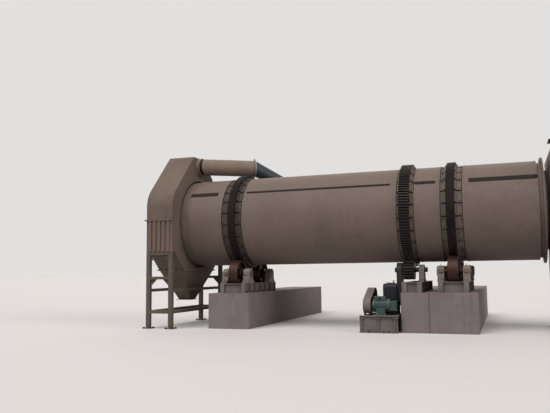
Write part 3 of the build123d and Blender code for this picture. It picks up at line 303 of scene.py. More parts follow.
def make_finish(name, colour, stain, stain_amount=0.45, blotch=0.9, streak=None, streak_amount=0.0,
                settled=(168, 156, 142), dust_amount=0.35, worn=None, wear_amount=0.5,
                rough=(0.55, 0.8), metal=0.0, gloss=0.25, grain_size=120.0, dents=3.0, bump=0.25,
                height=0.004):
    """One finish. Colours are as on screen, amounts from 0 to 1, sizes and heights in metres."""
    material = bpy.data.materials.new(name)
    material.use_nodes = True
    tree = material.node_tree
    shader = tree.nodes["Principled BSDF"]
    paint = place_group(tree, uneven, Colour=screen(*colour), Stain=screen(*stain),
                        Blotch_size=blotch, Stain_amount=stain_amount)
    look = paint.outputs["Colour"]
    if streak_amount > 0:
        trickle = place_group(tree, runs, Run_amount=streak_amount)
        look = mix_colour(tree, trickle.outputs["Runs"], look, screen(*(streak or stain)))
    if wear_amount > 0:
        wear = place_group(tree, edge_wear, Wear_amount=wear_amount)
        look = mix_colour(tree, wear.outputs["Wear"], look, screen(*(worn or stain)))
    if dust_amount > 0:
        cover = place_group(tree, dust, Dust_amount=dust_amount)
        look = mix_colour(tree, cover.outputs["Dust"], look, screen(*settled))
    surface = place_group(tree, grain, Grain_per_metre=grain_size, Dents_per_metre=dents,
                          Roughness_low=rough[0], Roughness_high=rough[1])
    relief = add_node(tree, "ShaderNodeBump")
    relief.inputs["Strength"].default_value = bump
    relief.inputs["Distance"].default_value = height
    tree.links.new(surface.outputs["Height"], relief.inputs["Height"])
    tree.links.new(look, shader.inputs["Base Color"])
    tree.links.new(surface.outputs["Roughness"], shader.inputs["Roughness"])
    tree.links.new(relief.outputs["Normal"], shader.inputs["Normal"])
    shader.inputs["Metallic"].default_value = metal
    shader.inputs["Specular IOR Level"].default_value = gloss
    return material


def give(material, *names):
    """Lays one finish over the solids that carry it."""
    for name in names:
        mesh = nodes[name].data
        mesh.materials.clear()
        mesh.materials.append(material)


# %% [markdown]
# ## Jackets, hood and duct
#
# The jackets are thin sheet over wool, so they are dented a little, and their matt grey-beige paint
# is dusty on top. The hood has the same paint, a shade warmer, with runs down its sides.

# %% Painted sheet
jacket_paint = make_finish("jacket paint", (99, 84, 78), (76, 64, 59), stain_amount=0.55, blotch=1.3,
                           streak=(70, 58, 53), streak_amount=0.25, settled=(130, 113, 95),
                           dust_amount=0.3, wear_amount=0.3, worn=(60, 45, 38), rough=(0.5, 0.72),
                           dents=1.6, height=0.012)
shell_paint = make_finish("shell paint", (98, 84, 77), (64, 53, 48), stain_amount=0.6, blotch=0.5,
                          streak_amount=0.3, settled=(126, 110, 98), dust_amount=0.25, wear_amount=0.5,
                          worn=(56, 42, 34), grain_size=160.0)
hood_paint = make_finish("hood paint", (98, 84, 75), (78, 66, 58), stain_amount=0.55, blotch=0.8,
                         streak=(60, 49, 43), streak_amount=0.4, settled=(132, 117, 102),
                         dust_amount=0.15, wear_amount=0.4, worn=(66, 46, 36), rough=(0.6, 0.85),
                         dents=2.0, height=0.009)
duct_paint = make_finish("duct paint", (116, 101, 90), (82, 70, 61), blotch=0.6,
                         streak=(62, 52, 45), streak_amount=0.3, settled=(146, 130, 113),
                         dust_amount=0.3, wear_amount=0.35, dents=3.0, height=0.006)
# The frames have the hood's paint, written darker as painted shade under the hood.
shaded_frame_paint = make_finish("shaded frame paint", (82, 73, 63), (60, 51, 44), blotch=0.35, dust_amount=0.25,
                          settled=(116, 105, 94), streak_amount=0.3, wear_amount=0.6,
                          worn=(76, 50, 36), grain_size=160.0)
give(jacket_paint, "jacket_discharge", "jacket_middle", "jacket_narrow", "jacket_feed")
give(shell_paint, "drum_shell", "seal_band", "end_flange")
give(hood_paint, "hood_upper", "hood_lower", "hopper", "feed_housing", "feed_chute", "gas_inlet")
give(duct_paint, "duct_collar", "exhaust_duct", "duct_end")
give(shaded_frame_paint, "hood_frame", "feed_frame")
print("painted sheet done")

# %% [markdown]
# ## Bare and blackened steel
#
# Grease and dust have turned the rings and the gear black. The rollers below them are brown, and the
# bright copper on their edges is partly rubbed metal and partly a painted highlight. The chairs at the
# discharge end are painted darker than the others, as painted shade. The branch of the duct is
# galvanised sheet. One recipe with other numbers does for all of them, so none needs a texture file.

# %% Rings, gear, rollers
ring_steel = make_finish("ring steel", (19, 16, 17), (46, 32, 26), stain_amount=0.5, blotch=0.3,
                         settled=(54, 47, 44), dust_amount=0.15, worn=(74, 62, 56), wear_amount=0.4,
                         rough=(0.55, 0.8), gloss=0.08, grain_size=220.0, dents=12.0)
gear_steel = make_finish("gear steel", (33, 30, 30), (50, 42, 37), stain_amount=0.45, blotch=0.25,
                         settled=(86, 77, 70), dust_amount=0.2, worn=(98, 92, 88), wear_amount=0.5,
                         rough=(0.3, 0.6), metal=0.4, grain_size=240.0, dents=16.0)
dark_steel = make_finish("dark steel", (34, 30, 30), (52, 40, 33), blotch=0.4, dust_amount=0.15,
                         settled=(76, 67, 60), wear_amount=0.3, rough=(0.55, 0.8), gloss=0.1)
flight_steel = make_finish("flight steel", (70, 56, 46), (96, 62, 42), stain_amount=0.7, blotch=0.3,
                           settled=(120, 100, 82), dust_amount=0.5, worn=(122, 112, 104),
                           wear_amount=0.8, rough=(0.55, 0.85), metal=0.3, grain_size=180.0)
chair_paint = make_finish("chair paint", (94, 81, 74), (52, 43, 39), stain_amount=0.65, blotch=0.25,
                          settled=(124, 109, 98), dust_amount=0.3, worn=(50, 38, 31), wear_amount=0.7,
                          grain_size=200.0)
# A darker copy of the chair paint: painted shade on the chairs at the discharge end.
shaded_chair_paint = make_finish("shaded chair paint", (68, 57, 51), (40, 32, 29), stain_amount=0.75, blotch=0.25,
                         settled=(96, 84, 75), dust_amount=0.25, worn=(38, 30, 26), wear_amount=0.7,
                         grain_size=200.0)
# The bright copper of the worn edges is partly rubbed metal and partly a painted highlight.
roller_steel = make_finish("roller steel", (56, 34, 26), (29, 20, 18), stain_amount=0.8, blotch=0.15,
                           settled=(74, 61, 54), dust_amount=0.15, worn=(150, 98, 66), wear_amount=0.8,
                           rough=(0.35, 0.6), metal=0.5, grain_size=260.0, dents=14.0)
galvanised = make_finish("galvanised sheet", (54, 58, 64), (42, 45, 51), blotch=0.12,
                         settled=(96, 94, 93), dust_amount=0.2, wear_amount=0.2, rough=(0.4, 0.6),
                         metal=0.2, grain_size=90.0)
zinc = make_finish("zinc", (138, 131, 133), (98, 92, 94), blotch=0.15, dust_amount=0.15,
                   settled=(150, 140, 132), wear_amount=0.2, rough=(0.45, 0.65), metal=0.2, grain_size=200.0)
bright_steel = make_finish("bright steel", (132, 128, 124), (84, 74, 66), blotch=0.15, dust_amount=0.15,
                           wear_amount=0.2, rough=(0.28, 0.48), metal=0.75, grain_size=300.0)
give(ring_steel, "riding_ring_discharge", "riding_ring_feed")
give(gear_steel, "girth_gear", "pinion")
# The joint strips' dark steel is partly their own colour and partly painted shade along the cladding's
# joints.
give(dark_steel, "jacket_seams", "duct_sleeve")
give(flight_steel, "lifting_flights")
give(chair_paint, "ring_chairs_feed", "gear_chairs")
give(shaded_chair_paint, "ring_chairs_discharge")
give(roller_steel, "roller_front_discharge", "roller_rear_discharge", "roller_front_feed",
     "roller_rear_feed")
give(galvanised, "duct_branch", "branch_middle", "branch_end", "branch_flange")
give(bright_steel, "belt_pulleys")
print("steel done")

# %% [markdown]
# ## Bearings, frames, drive and concrete
#
# Machines are brushed with thick paint that chips at the edges and shows rust there. Cast concrete
# is paler and coarser, with long runs. A photographed texture could do it too, but it would have to
# be unwrapped on every casting, and the recipe needs no unwrapping.

# %% Machinery paint
bearing_paint = make_finish("bearing paint", (114, 103, 99), (72, 62, 58), stain_amount=0.6,
                            blotch=0.2, settled=(142, 130, 120), dust_amount=0.3, wear_amount=0.6,
                            worn=(62, 48, 40), grain_size=260.0)
base_paint = make_finish("base paint", (104, 96, 94), (66, 57, 53), stain_amount=0.55, blotch=0.35,
                         streak=(54, 44, 38), streak_amount=0.4, settled=(134, 122, 112),
                         wear_amount=0.7, worn=(90, 60, 44), grain_size=180.0)
motor_paint = make_finish("motor paint", (54, 72, 69), (38, 50, 48), stain_amount=0.55, blotch=0.15,
                          settled=(112, 114, 104), dust_amount=0.45, wear_amount=0.6,
                          worn=(104, 108, 102), rough=(0.35, 0.6), grain_size=300.0)
reducer_paint = make_finish("reducer paint", (32, 33, 39), (27, 26, 27), stain_amount=0.6, blotch=0.25,
                            settled=(84, 78, 72), dust_amount=0.25, wear_amount=0.5, rough=(0.4, 0.65),
                            grain_size=260.0)
guard_paint = make_finish("guard paint", (100, 92, 88), (84, 70, 58), blotch=0.3,
                          settled=(138, 127, 115), dust_amount=0.25, wear_amount=0.6,
                          worn=(76, 52, 40))
rubber = make_finish("belt rubber", (30, 29, 29), (48, 44, 40), blotch=0.1, dust_amount=0.2,
                     settled=(84, 78, 72), wear_amount=0.3, worn=(70, 66, 62), rough=(0.6, 0.8),
                     grain_size=400.0)
concrete = make_finish("concrete", (112, 101, 102), (92, 82, 81), stain_amount=0.6, blotch=0.7,
                       streak=(78, 67, 62), streak_amount=0.5, settled=(142, 130, 124),
                       dust_amount=0.25, wear_amount=0.6, worn=(146, 136, 130), rough=(0.8, 0.95),
                       grain_size=60.0, dents=5.0, bump=0.5, height=0.01)
give(bearing_paint, "bearing_blocks_discharge", "bearing_blocks_feed", "pinion_block")
give(base_paint, "base_frame_discharge", "base_frame_feed", "base_frame_gear", "drive_base")
give(motor_paint, "motor")
give(reducer_paint, "reducer")
give(guard_paint, "belt_guard")
give(rubber, "drive_belts")
give(concrete, "discharge_pier", "gear_pier", "feed_pier")
print(len(bpy.data.materials), "finishes")


# %% [markdown]
# ## Modelling the small parts
#
# A drawing office stops at the plates and castings. What makes a machine look real is the rest:
# bolts in rows, bands that hold the cladding, covers on the bearings. Each of them is modelled once,
# with the same operators as by hand. Where a part repeats, a copy is laid at each place, and the
# copies of one row are joined, so that the list of pieces stays short.

# %% Opening a piece with some of its faces selected


def only(piece):
    """Selects one object and makes it the active one."""
    bpy.ops.object.select_all(action="DESELECT")
    piece.select_set(True)
    bpy.context.view_layer.objects.active = piece


def only_mesh(piece):
    """Makes a piece active, with nothing selected in its mesh."""
    only(piece)
    for elements in (piece.data.vertices, piece.data.edges, piece.data.polygons):
        elements.foreach_set("select", [False] * len(elements))


def open_faces(piece, wanted):
    """Starts edit mode with those faces selected for which wanted(centre, normal) is true."""
    only_mesh(piece)
    for face in piece.data.polygons:
        face.select = bool(wanted(face.center, face.normal))
    bpy.context.tool_settings.mesh_select_mode = (False, False, True)
    bpy.ops.object.mode_set(mode="EDIT")


def open_edges(piece, wanted):
    """Starts edit mode with those edges selected for which wanted(one end, other end) is true."""
    only_mesh(piece)
    points = piece.data.vertices
    for edge in piece.data.edges:
        edge.select = bool(wanted(points[edge.vertices[0]].co, points[edge.vertices[1]].co))
    bpy.context.tool_settings.mesh_select_mode = (False, True, False)
    bpy.ops.object.mode_set(mode="EDIT")


def facing(*direction):
    """A test for the faces that look along a direction."""
    return lambda centre, normal: normal.dot(Vector(direction)) > 0.9


def close():
    """Leaves edit mode."""
    bpy.ops.object.mode_set(mode="OBJECT")


def inset_and_move(width, move):
    """Insets the selected face and moves what is left of it."""
    bpy.ops.mesh.inset(thickness=width)
    bpy.ops.transform.translate(value=move)


def settle(piece):
    """Moves a piece's place into its mesh, so that its object sits at the origin."""
    only(piece)
    bpy.ops.object.transform_apply(location=True, rotation=True, scale=True)


# %% Starting from a primitive
sharp_edge, smooth_edge = math.radians(40), math.radians(35)


def start_box(size, centre=(0, 0, 0)):
    """A box with its three sizes, round its centre."""
    bpy.ops.mesh.primitive_cube_add(size=1, location=centre)
    piece = bpy.context.object
    piece.scale = size
    settle(piece)
    return piece


def start_rod(radius, length, centre=(0, 0, 0), sides=24, ends="NGON"):
    """A cylinder that stands on Z."""
    bpy.ops.mesh.primitive_cylinder_add(vertices=sides, radius=radius, depth=length,
                                        location=centre, end_fill_type=ends)
    piece = bpy.context.object
    settle(piece)
    return piece


def round_edges(piece, width, segments=1):
    """Bevels the sharp edges with a modifier, which is applied at once."""
    only(piece)
    bevel = piece.modifiers.new("rounded edges", "BEVEL")
    bevel.width = width
    bevel.segments = segments
    bevel.limit_method = "ANGLE"
    bevel.angle_limit = sharp_edge
    bpy.ops.object.modifier_apply(modifier=bevel.name)


def thicken(piece, thickness):
    """Gives a sheet its thickness, inwards."""
    only(piece)
    wall = piece.modifiers.new("wall", "SOLIDIFY")
    wall.thickness = thickness
    wall.offset = -1.0
    bpy.ops.object.modifier_apply(modifier=wall.name)


def join(*pieces):
    """Makes one piece of several."""
    only(pieces[0])
    for piece in pieces[1:]:
        piece.select_set(True)
    bpy.ops.object.join()
    return pieces[0]


def discard(*pieces):
    """Removes models that were only there to be copied."""
    for piece in pieces:
        bpy.data.objects.remove(piece)


# %% Laying and finishing pieces
def standing(point, axis=(0, 0, 1)):
    """Place of a part whose foot is at a point and whose Z runs along an axis."""
    lean = Vector(axis).to_track_quat("Z", "Y").to_matrix().to_4x4()
    return Matrix.Translation(point) @ lean


def upright(points):
    """A place with Z up at each point."""
    return [standing(point) for point in points]


def from_axes(x, y, z):
    """Matrix that turns X, Y and Z into three directions."""
    return Matrix((x, y, z)).transposed().to_4x4()


def copy_at(master, place):
    """A copy of a part at a place, with a mesh of its own."""
    copy = master.copy()
    copy.data = master.data.copy()
    bpy.context.collection.objects.link(copy)
    copy.matrix_world = place
    return copy


def finish_piece(piece, name, material, body="frame"):
    """Names a piece, gives it its finish and lets it move with its body."""
    settle(piece)
    bpy.ops.object.shade_smooth_by_angle(angle=smooth_edge)
    piece.name = name
    piece.data.name = name
    piece.data.materials.clear()
    piece.data.materials.append(material)
    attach(piece, body)
    return piece


def lay(master, places, name, material, body="frame"):
    """A copy of the master at each place, joined to one piece."""
    copies = [copy_at(master, place) for place in places]
    for copy in copies:
        settle(copy)
    return finish_piece(join(*copies), name, material, body)


def along_line(start, end, count):
    """Evenly spaced points from start to end, with both ends."""
    start, end = Vector(start), Vector(end)
    return [start.lerp(end, i / (count - 1)) for i in range(count)]


def round_drum(station, radius, angle):
    """A point on the drum, with the angle counted from straight up towards the front."""
    return on_drum(station, -radius * math.sin(angle), radius * math.cos(angle))


def out_of_drum(angle):
    """The direction that points away from the centre line at an angle."""
    return round_drum(0, 1, angle) - drum_origin


def on_shell(station, radius, angle):
    """Place of a part that stands on the drum and points away from it."""
    return standing(round_drum(station, radius, angle), out_of_drum(angle))


def drum_span(name):
    """Start and end along the drum and radius of a round solid, from its box."""
    low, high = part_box(name)
    radius = (high.y - low.y) / 2
    lean = radius * drum_along.z
    return (low.x + lean) / drum_along.x, (high.x - lean) / drum_along.x, radius


print("jacket radius", round(drum_span("jacket_middle")[2], 3))

# %% [markdown]
# ## Bolts
#
# A bolt head on a washer is enough at this scale. The six-sided head starts as a cylinder with six
# corners, and its top is inset and raised a little for the chamfer. A turned thread would cost
# hundreds of faces on every bolt and never be seen.

# %% One bolt, to be copied in three sizes


def make_bolt(size):
    """Washer, head and chamfer, with the head's width across corners about 1.9 times the size."""
    washer = start_rod(1.15 * size, 0.16 * size, (0, 0, 0.08 * size), sides=14)
    head = start_rod(0.95 * size, 0.62 * size, (0, 0, 0.47 * size), sides=6)
    open_faces(head, facing(0, 0, 1))
    inset_and_move(0.16 * size, (0, 0, 0.09 * size))
    close()
    return join(washer, head)


small_bolt, flange_bolt, anchor_bolt = (make_bolt(size) for size in (0.010, 0.016, 0.026))
rivet = start_rod(0.006, 0.004, (0, 0, 0.001), sides=8)
print("bolt has", len(flange_bolt.data.polygons), "faces")

# %% [markdown]
# ## Cladding
#
# Each jacket is rolled sheet, held at its ends by a flat band and lapped where two sheets meet. A
# band is a cylinder with no ends that gets a wall. It stands a few millimetres proud, because the
# solid below is made of flat facets that would show through a band of the same radius.

# %% Bands round the jackets
proud, lap_proud, lap_wall, hoop_sides = 0.004, 0.0025, 0.004, 120
lay_on_drum = drum_along.to_track_quat("Z", "Y").to_matrix().to_4x4()


def drum_band(station, width, radius, wall=0.006):
    """A flat hoop about the centre line, with rounded edges."""
    hoop = start_rod(radius, width, sides=hoop_sides, ends="NOTHING")
    thicken(hoop, wall)
    round_edges(hoop, 0.0015)
    hoop.matrix_world = Matrix.Translation(on_drum(station, 0, 0)) @ lay_on_drum
    settle(hoop)
    return hoop


jacket_names = ("jacket_discharge", "jacket_middle", "jacket_narrow", "jacket_feed")
end_band_width, lap_width, sheet_width = 0.046, 0.03, 1.25
end_bands, laps = [], []
for name in jacket_names:
    start, end, jacket_radius = drum_span(name)
    for station in (start + end_band_width / 2, end - end_band_width / 2):
        end_bands.append(drum_band(station, end_band_width, jacket_radius + proud))
    sheets = max(1, round((end - start) / sheet_width))
    for i in range(1, sheets):
        station = start + (end - start) * i / sheets
        laps.append(drum_band(station, lap_width, jacket_radius + lap_proud, lap_wall))
print(len(end_bands), "bands and", len(laps), "laps")
finish_piece(join(*end_bands), "cladding_bands", jacket_paint, "drum")
finish_piece(join(*laps), "cladding_laps", jacket_paint, "drum")

# %% Rivets in the bands and bolts in the joint strips
rivet_count, rivet_places = 36, []
for name in jacket_names:
    start, end, jacket_radius = drum_span(name)
    for station in (start + end_band_width / 2, end - end_band_width / 2):
        for i in range(rivet_count):
            angle = math.radians(360 / rivet_count * i)
            rivet_places.append(on_shell(station, jacket_radius + proud, angle))
lay(rivet, rivet_places, "cladding_rivets", bright_steel, "drum")

# The strips stand 14 mm proud, 36 degrees above the drum's near side, and stop short of the
# jackets' ends by the lengths given here.
strip_radius = drum_span("jacket_feed")[2] + 0.014
strip_angle, strip_pitch = math.radians(90 - 36), 0.16
strips = {"jacket_discharge": (0.0, 0.165), "jacket_middle": (0.07, 0.15),
          "jacket_narrow": (0.0, 0.1), "jacket_feed": (0.134, 0.0)}
strip_bolts = []
for name, (before, after) in strips.items():
    start, end, _ = drum_span(name)
    length = end - after - start - before
    count = round(length / strip_pitch)
    for i in range(count):
        station = start + before + length * (i + 0.5) / count
        strip_bolts.append(on_shell(station, strip_radius, strip_angle))
lay(small_bolt, strip_bolts, "joint_strip_bolts", dark_steel, "drum")
print(len(rivet_places), "rivets,", len(strip_bolts), "strip bolts")

# %% [markdown]
# ## Chairs and gear
#
# The pads under the rings are fixed to the shell with bolts, one at each outer corner, and the
# girth gear comes in two halves that are bolted together at lugs. Those lugs start as boxes, and
# their outer corners are rounded.

# %% Bolts of the chairs
chair_count, pad_thickness, bolt_from_end, bolt_aside = 24, 0.042, 0.035, 0.085
pad_top = drum_span("drum_shell")[2] + pad_thickness
chair_step = math.radians(360 / chair_count)
chair_bolts = []
for name in ("ring_chairs_discharge", "ring_chairs_feed", "gear_chairs"):
    start, end, _ = drum_span(name)
    for station in (start + bolt_from_end, end - bolt_from_end):
        for i in range(chair_count):
            for offset in (-bolt_aside, bolt_aside):
                chair_bolts.append(on_shell(station, pad_top, i * chair_step + offset / pad_top))
lay(small_bolt, chair_bolts, "chair_bolts", dark_steel, "drum")
print(len(chair_bolts), "chair bolts")

# %% Joint of the gear's halves
gear_start, gear_end, gear_radius = drum_span("girth_gear")
gear_root = gear_radius - 0.045
lug_length, lug_thickness, lug_height, lug_bolt_aside = 0.16, 0.024, 0.062, 0.045
lug_radius = gear_root - 0.035
joint_lugs, lug_bolts = [], []
for angle in (math.radians(75), math.radians(255)):
    for side, face in ((-1, gear_start), (1, gear_end)):
        lug = start_box((lug_length, lug_thickness, lug_height), (0, side * lug_thickness / 2, 0))
        round_edges(lug, 0.006, segments=2)
        outward = out_of_drum(angle)
        sideways = drum_along.cross(outward)
        turn = from_axes(sideways, drum_along, outward)
        lug.matrix_world = Matrix.Translation(round_drum(face, lug_radius, angle)) @ turn
        joint_lugs.append(lug)
        for offset in (-lug_bolt_aside, lug_bolt_aside):
            place = round_drum(face + side * lug_thickness, lug_radius, angle + offset / gear_root)
            lug_bolts.append(standing(place, side * drum_along))
for lug in joint_lugs:
    settle(lug)
finish_piece(join(*joint_lugs), "gear_joint_lugs", gear_steel, "drum")
lay(flange_bolt, lug_bolts, "gear_joint_bolts", dark_steel, "drum")
print("gear radius", round(gear_radius, 3))

# %% [markdown]
# ## Hood, hopper and duct
#
# The hood is bolted together along its middle, with one bolt about every 150 mm, and to the hopper
# below. A door on its blind side gives access to the seal. The door is a box whose front is
# inset and pushed in, so that the stiffening rim stays proud.

# %% Bolts along the hood's flanges
hood_low, hood_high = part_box("hood_upper")
lower_low, lower_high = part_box("hood_lower")
flange_inset, flange_thickness, bolt_pitch = 0.02, 0.012, 0.15


def bolts_round(low, high, height, inset, pitch):
    """Places round a rectangular flange, heads up."""
    x0, x1, y0, y1 = low.x + inset, high.x - inset, low.y + inset, high.y - inset
    corners = [(x0, y0), (x1, y0), (x1, y1), (x0, y1)]
    points = []
    for start, end in zip(corners, corners[1:] + corners[:1]):
        count = max(2, round(math.dist(start, end) / pitch)) + 1
        points += along_line((*start, height), (*end, height), count)[:-1]
    return points


split_top = hood_low.z + flange_thickness
split_points = bolts_round(hood_low, hood_high, split_top, flange_inset, bolt_pitch)
opening = drum_span("seal_band")[2] + 0.06
split_points = [point for point in split_points if point.x < hood_high.x - 0.03 or abs(point.y) > opening]
lay(flange_bolt, upright(split_points), "hood_split_bolts", bright_steel)
hopper_low, hopper_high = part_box("hopper")
joint_top = lower_low.z + flange_thickness
joint_points = bolts_round(hopper_low, hopper_high, joint_top, flange_inset, bolt_pitch)
lay(flange_bolt, upright(joint_points), "hopper_joint_bolts", bright_steel)
print(len(split_points), "split bolts,", len(joint_points), "hopper bolts")

# %% Door on the blind side
door_height, door_width, door_thickness = 0.75, 0.56, 0.022
door = start_box((door_thickness, door_width, door_height))
open_faces(door, facing(-1, 0, 0))
inset_and_move(0.035, (0.012, 0, 0))
inset_and_move(0.012, (-0.004, 0, 0))
close()
round_edges(door, 0.004, segments=2)
door_middle = Vector((lower_low.x + 0.042 - door_thickness / 2 - 0.001, 0.0, hood_low.z + 0.62))
door.location = door_middle
finish_piece(door, "inspection_door", hood_paint)


def beside_door(aside):
    """A low and a high place at one edge of the door."""
    return [Matrix.Translation(door_middle + Vector((-0.012, aside, height)))
            for height in (-0.26, 0.26)]


hinge_places = beside_door(-door_width / 2 - 0.012)
clamp_places = beside_door(door_width / 2 - 0.005)
knuckle = start_rod(0.013, 0.11, sides=16)
leaf = start_box((0.006, 0.11, 0.07), (0.002, 0.05, 0))
hinge = join(knuckle, leaf)
round_edges(hinge, 0.002)
lay(hinge, hinge_places, "door_hinges", dark_steel)
lever = start_box((0.012, 0.13, 0.03), (-0.012, 0.0, 0))
open_faces(lever, facing(0, -1, 0))
bpy.ops.mesh.extrude_region_move(TRANSFORM_OT_translate={"value": (-0.03, -0.05, 0)})
bpy.ops.transform.resize(value=(1, 1, 0.7))
close()
pin = start_rod(0.012, 0.03, (-0.012, 0.04, 0), sides=12)
clamp = join(lever, pin)
round_edges(clamp, 0.003, segments=2)
lay(clamp, clamp_places, "door_clamps", dark_steel)
discard(hinge, clamp)
print("door", door_width, "x", door_height)

# %% [markdown]
# The drum turns inside the hood's opening, and a ring of soft strip closes the gap between them. The
# strip is a cone-shaped hoop: a cylinder without ends, whose inner rim is made smaller in edit mode.
# It stays a few millimetres from the drum, so that nothing rubs.

# %% Seal strip in the hood's opening
seal_gap, strip_wall = 0.008, 0.005


def seal_hoop(station, radius, flare, length, narrow_end, sides):
    """A hoop of strip about a radius, with one rim drawn in until it nearly touches."""
    hoop = start_rod(radius + flare, length, sides=sides, ends="NOTHING")
    open_edges(hoop, lambda one, other: one.z * narrow_end > 0 and other.z * narrow_end > 0)
    shrink = (radius + seal_gap + strip_wall) / (radius + flare)
    bpy.ops.transform.resize(value=(shrink, shrink, 1))
    close()
    thicken(hoop, strip_wall)
    hoop.matrix_world = Matrix.Translation(on_drum(station, 0, 0)) @ lay_on_drum
    return hoop


opening_station = (lower_high.x - 0.05 - drum_origin.x) / drum_along.x
seal = seal_hoop(opening_station - 0.02, drum_span("seal_band")[2], 0.046, 0.09, 1, hoop_sides)
# The strip's dark rubber is also painted shade for the dark gap round the drum in the opening.
finish_piece(seal, "seal_strip", rubber)
print("seal at station", round(opening_station, 3))

# %% Weld round the duct's collar
collar_low, collar_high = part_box("duct_collar")
duct_height = (collar_low.z + collar_high.z) / 2
weld_radius, weld_thickness = (collar_high.z - collar_low.z) / 2 + 0.002, 0.008
bpy.ops.mesh.primitive_torus_add(major_radius=weld_radius, minor_radius=weld_thickness,
                                 major_segments=64, minor_segments=8,
                                 location=(collar_low.x + 0.004, 0, duct_height),
                                 rotation=(0, math.radians(90), 0))
finish_piece(bpy.context.object, "collar_weld", duct_paint)
print("weld radius", round(weld_radius, 3))

# %% [markdown]
# The duct and its tapered branch meet at a ring. A zinc strap is drawn tight round it with two lugs
# and a bolt, which shows as a pale line from afar. The ring's own box gives its radius, and with the
# angle at which the duct leads away also its middle.

# %% Strap round the duct's mouth
# The duct leads away at 33 degrees, as in the source of the part.
duct_turn = math.radians(33)
strap_wall, strap_length = 0.005, 0.032
end_low, end_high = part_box("duct_end")
ring_radius = (end_high.z - end_low.z) / 2
mouth = Vector((end_high.x - ring_radius * math.sin(duct_turn),
                end_high.y - ring_radius * math.cos(duct_turn), duct_height))
strap_centre = (0, 0, -strap_length / 2 - 0.002)
strap = start_rod(ring_radius + strap_wall, strap_length, strap_centre, sides=96, ends="NOTHING")
thicken(strap, strap_wall - 0.001)
strap.matrix_world = standing(mouth, (math.cos(duct_turn), math.sin(duct_turn), 0))
settle(strap)
strap_top = mouth + Vector((-0.018 * math.cos(duct_turn), -0.018 * math.sin(duct_turn), ring_radius + 0.019))
across = Vector((-math.sin(duct_turn), math.cos(duct_turn), 0))
turned_with_duct = Matrix.Rotation(duct_turn, 4, "Z")
lugs = []
for side in (-1, 1):
    lug = start_box((0.03, 0.006, 0.032))
    round_edges(lug, 0.0015)
    lug.matrix_world = Matrix.Translation(strap_top + across * side * 0.014) @ turned_with_duct
    lugs.append(lug)
for lug in lugs:
    settle(lug)
finish_piece(join(strap, *lugs), "duct_strap", zinc)
lay(small_bolt, [standing(strap_top - across * 0.017, -across)], "strap_bolt", bright_steel)
print("strap radius", round(ring_radius, 3))

# %% [markdown]
# ## Bearings and base frames
#
# Each roller's shaft runs in two bearing blocks. A block has a cap that is bolted down at two ears,
# a ring-shaped cover round the shaft on its outer face, a grease nipple on top and four bolts through
# its foot. All of them are modelled round a block's own middle, with X along the drum, and a copy is
# laid at every block. The ring cover is a hoop that is given a thick wall.

# %% Where the blocks are
across_drum = Vector((0, 1, 0))
axes = from_axes(drum_along, across_drum, drum_up)


def machine_place(point):
    """Place of a part that is modelled with X along the drum, Y across it and Z up."""
    return Matrix.Translation(point) @ axes


def beside_shafts(middles, aside, shifts, rise):
    """Places on both sides of each shaft, shifted along the drum and raised above the shaft."""
    return [machine_place(middle + across_drum * side * aside + drum_along * shift + drum_up * rise)
            for middle in middles for side in (-1, 1) for shift in shifts]


block_offset, block_thickness, block_rise = 0.27, 0.145, 0.229
cap_radius, foot_height, foot_bolt_aside = 0.125, 0.052, 0.188
blocks = []
for name, joint in joints.items():
    if name.startswith("roller"):
        middle = Vector(joint["pos_m"])
        blocks += [(middle + side * block_offset * drum_along, side) for side in (-1, 1)]
block_middles = [place for place, _ in blocks]
print(len(blocks), "bearing blocks under the rings")

# %% Ears, covers and nipples
ear = start_box((0.1, 0.05, 0.044))
round_edges(ear, 0.008, segments=2)
ears = beside_shafts(block_middles, cap_radius + 0.012, (0,), 0)
lay(ear, ears, "bearing_ears", bearing_paint)
ear_bolts = beside_shafts(block_middles, cap_radius + 0.016, (-0.028, 0.028), 0.021)
lay(flange_bolt, ear_bolts, "bearing_ear_bolts", dark_steel)

cover = start_rod(0.108, 0.016, sides=40, ends="NOTHING")
thicken(cover, 0.037)
round_edges(cover, 0.003, segments=2)
for i in range(6):
    angle = math.radians(60 * i)
    spot = (0.09 * math.cos(angle), 0.09 * math.sin(angle), 0.007)
    screw = copy_at(small_bolt, Matrix.Translation(spot))
    settle(screw)
    cover = join(cover, screw)
covers = [standing(place + side * (block_thickness / 2 + 0.008) * drum_along, side * drum_along)
          for place, side in blocks]
lay(cover, covers, "bearing_covers", bearing_paint)

nipple = start_rod(0.009, 0.014, (0, 0, 0.007), sides=6)
stem = start_rod(0.005, 0.016, (0, 0, 0.02), sides=10)
bpy.ops.mesh.primitive_uv_sphere_add(segments=10, ring_count=6, radius=0.0065, location=(0, 0, 0.03))
nipple = join(nipple, stem, bpy.context.object)
nipples = [standing(place + drum_up * (cap_radius - 0.001), drum_up) for place in block_middles]
lay(nipple, nipples, "grease_nipples", bright_steel)

foot_top = foot_height - block_rise
foot_bolts = beside_shafts(block_middles, foot_bolt_aside, (-0.04, 0.04), foot_top)
lay(anchor_bolt, foot_bolts, "bearing_foot_bolts", bright_steel)
discard(ear, cover, nipple)
print(len(foot_bolts), "foot bolts")

# %% Bolts of the pinion's block
pinion_low, pinion_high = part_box("pinion_block")
pinion_line = Vector(joints["pinion_spin"]["pos_m"])
pinion_station = ((pinion_low.x + pinion_high.x) / 2 - pinion_line.x) / drum_along.x
pinion_middle = pinion_line + drum_along * pinion_station
pinion_foot = (pinion_middle.z - pinion_low.z) - foot_height
places = beside_shafts([pinion_middle], foot_bolt_aside, (-0.03, 0.03), -pinion_foot)
lay(anchor_bolt, places, "pinion_foot_bolts", bright_steel)
print("pinion block at", [round(value, 3) for value in pinion_middle])

# %% [markdown]
# The base frames are held down by anchor bolts through the lower flanges of their beams, on both
# sides of the web. The posts of the two support frames end in plates with four anchor bolts.

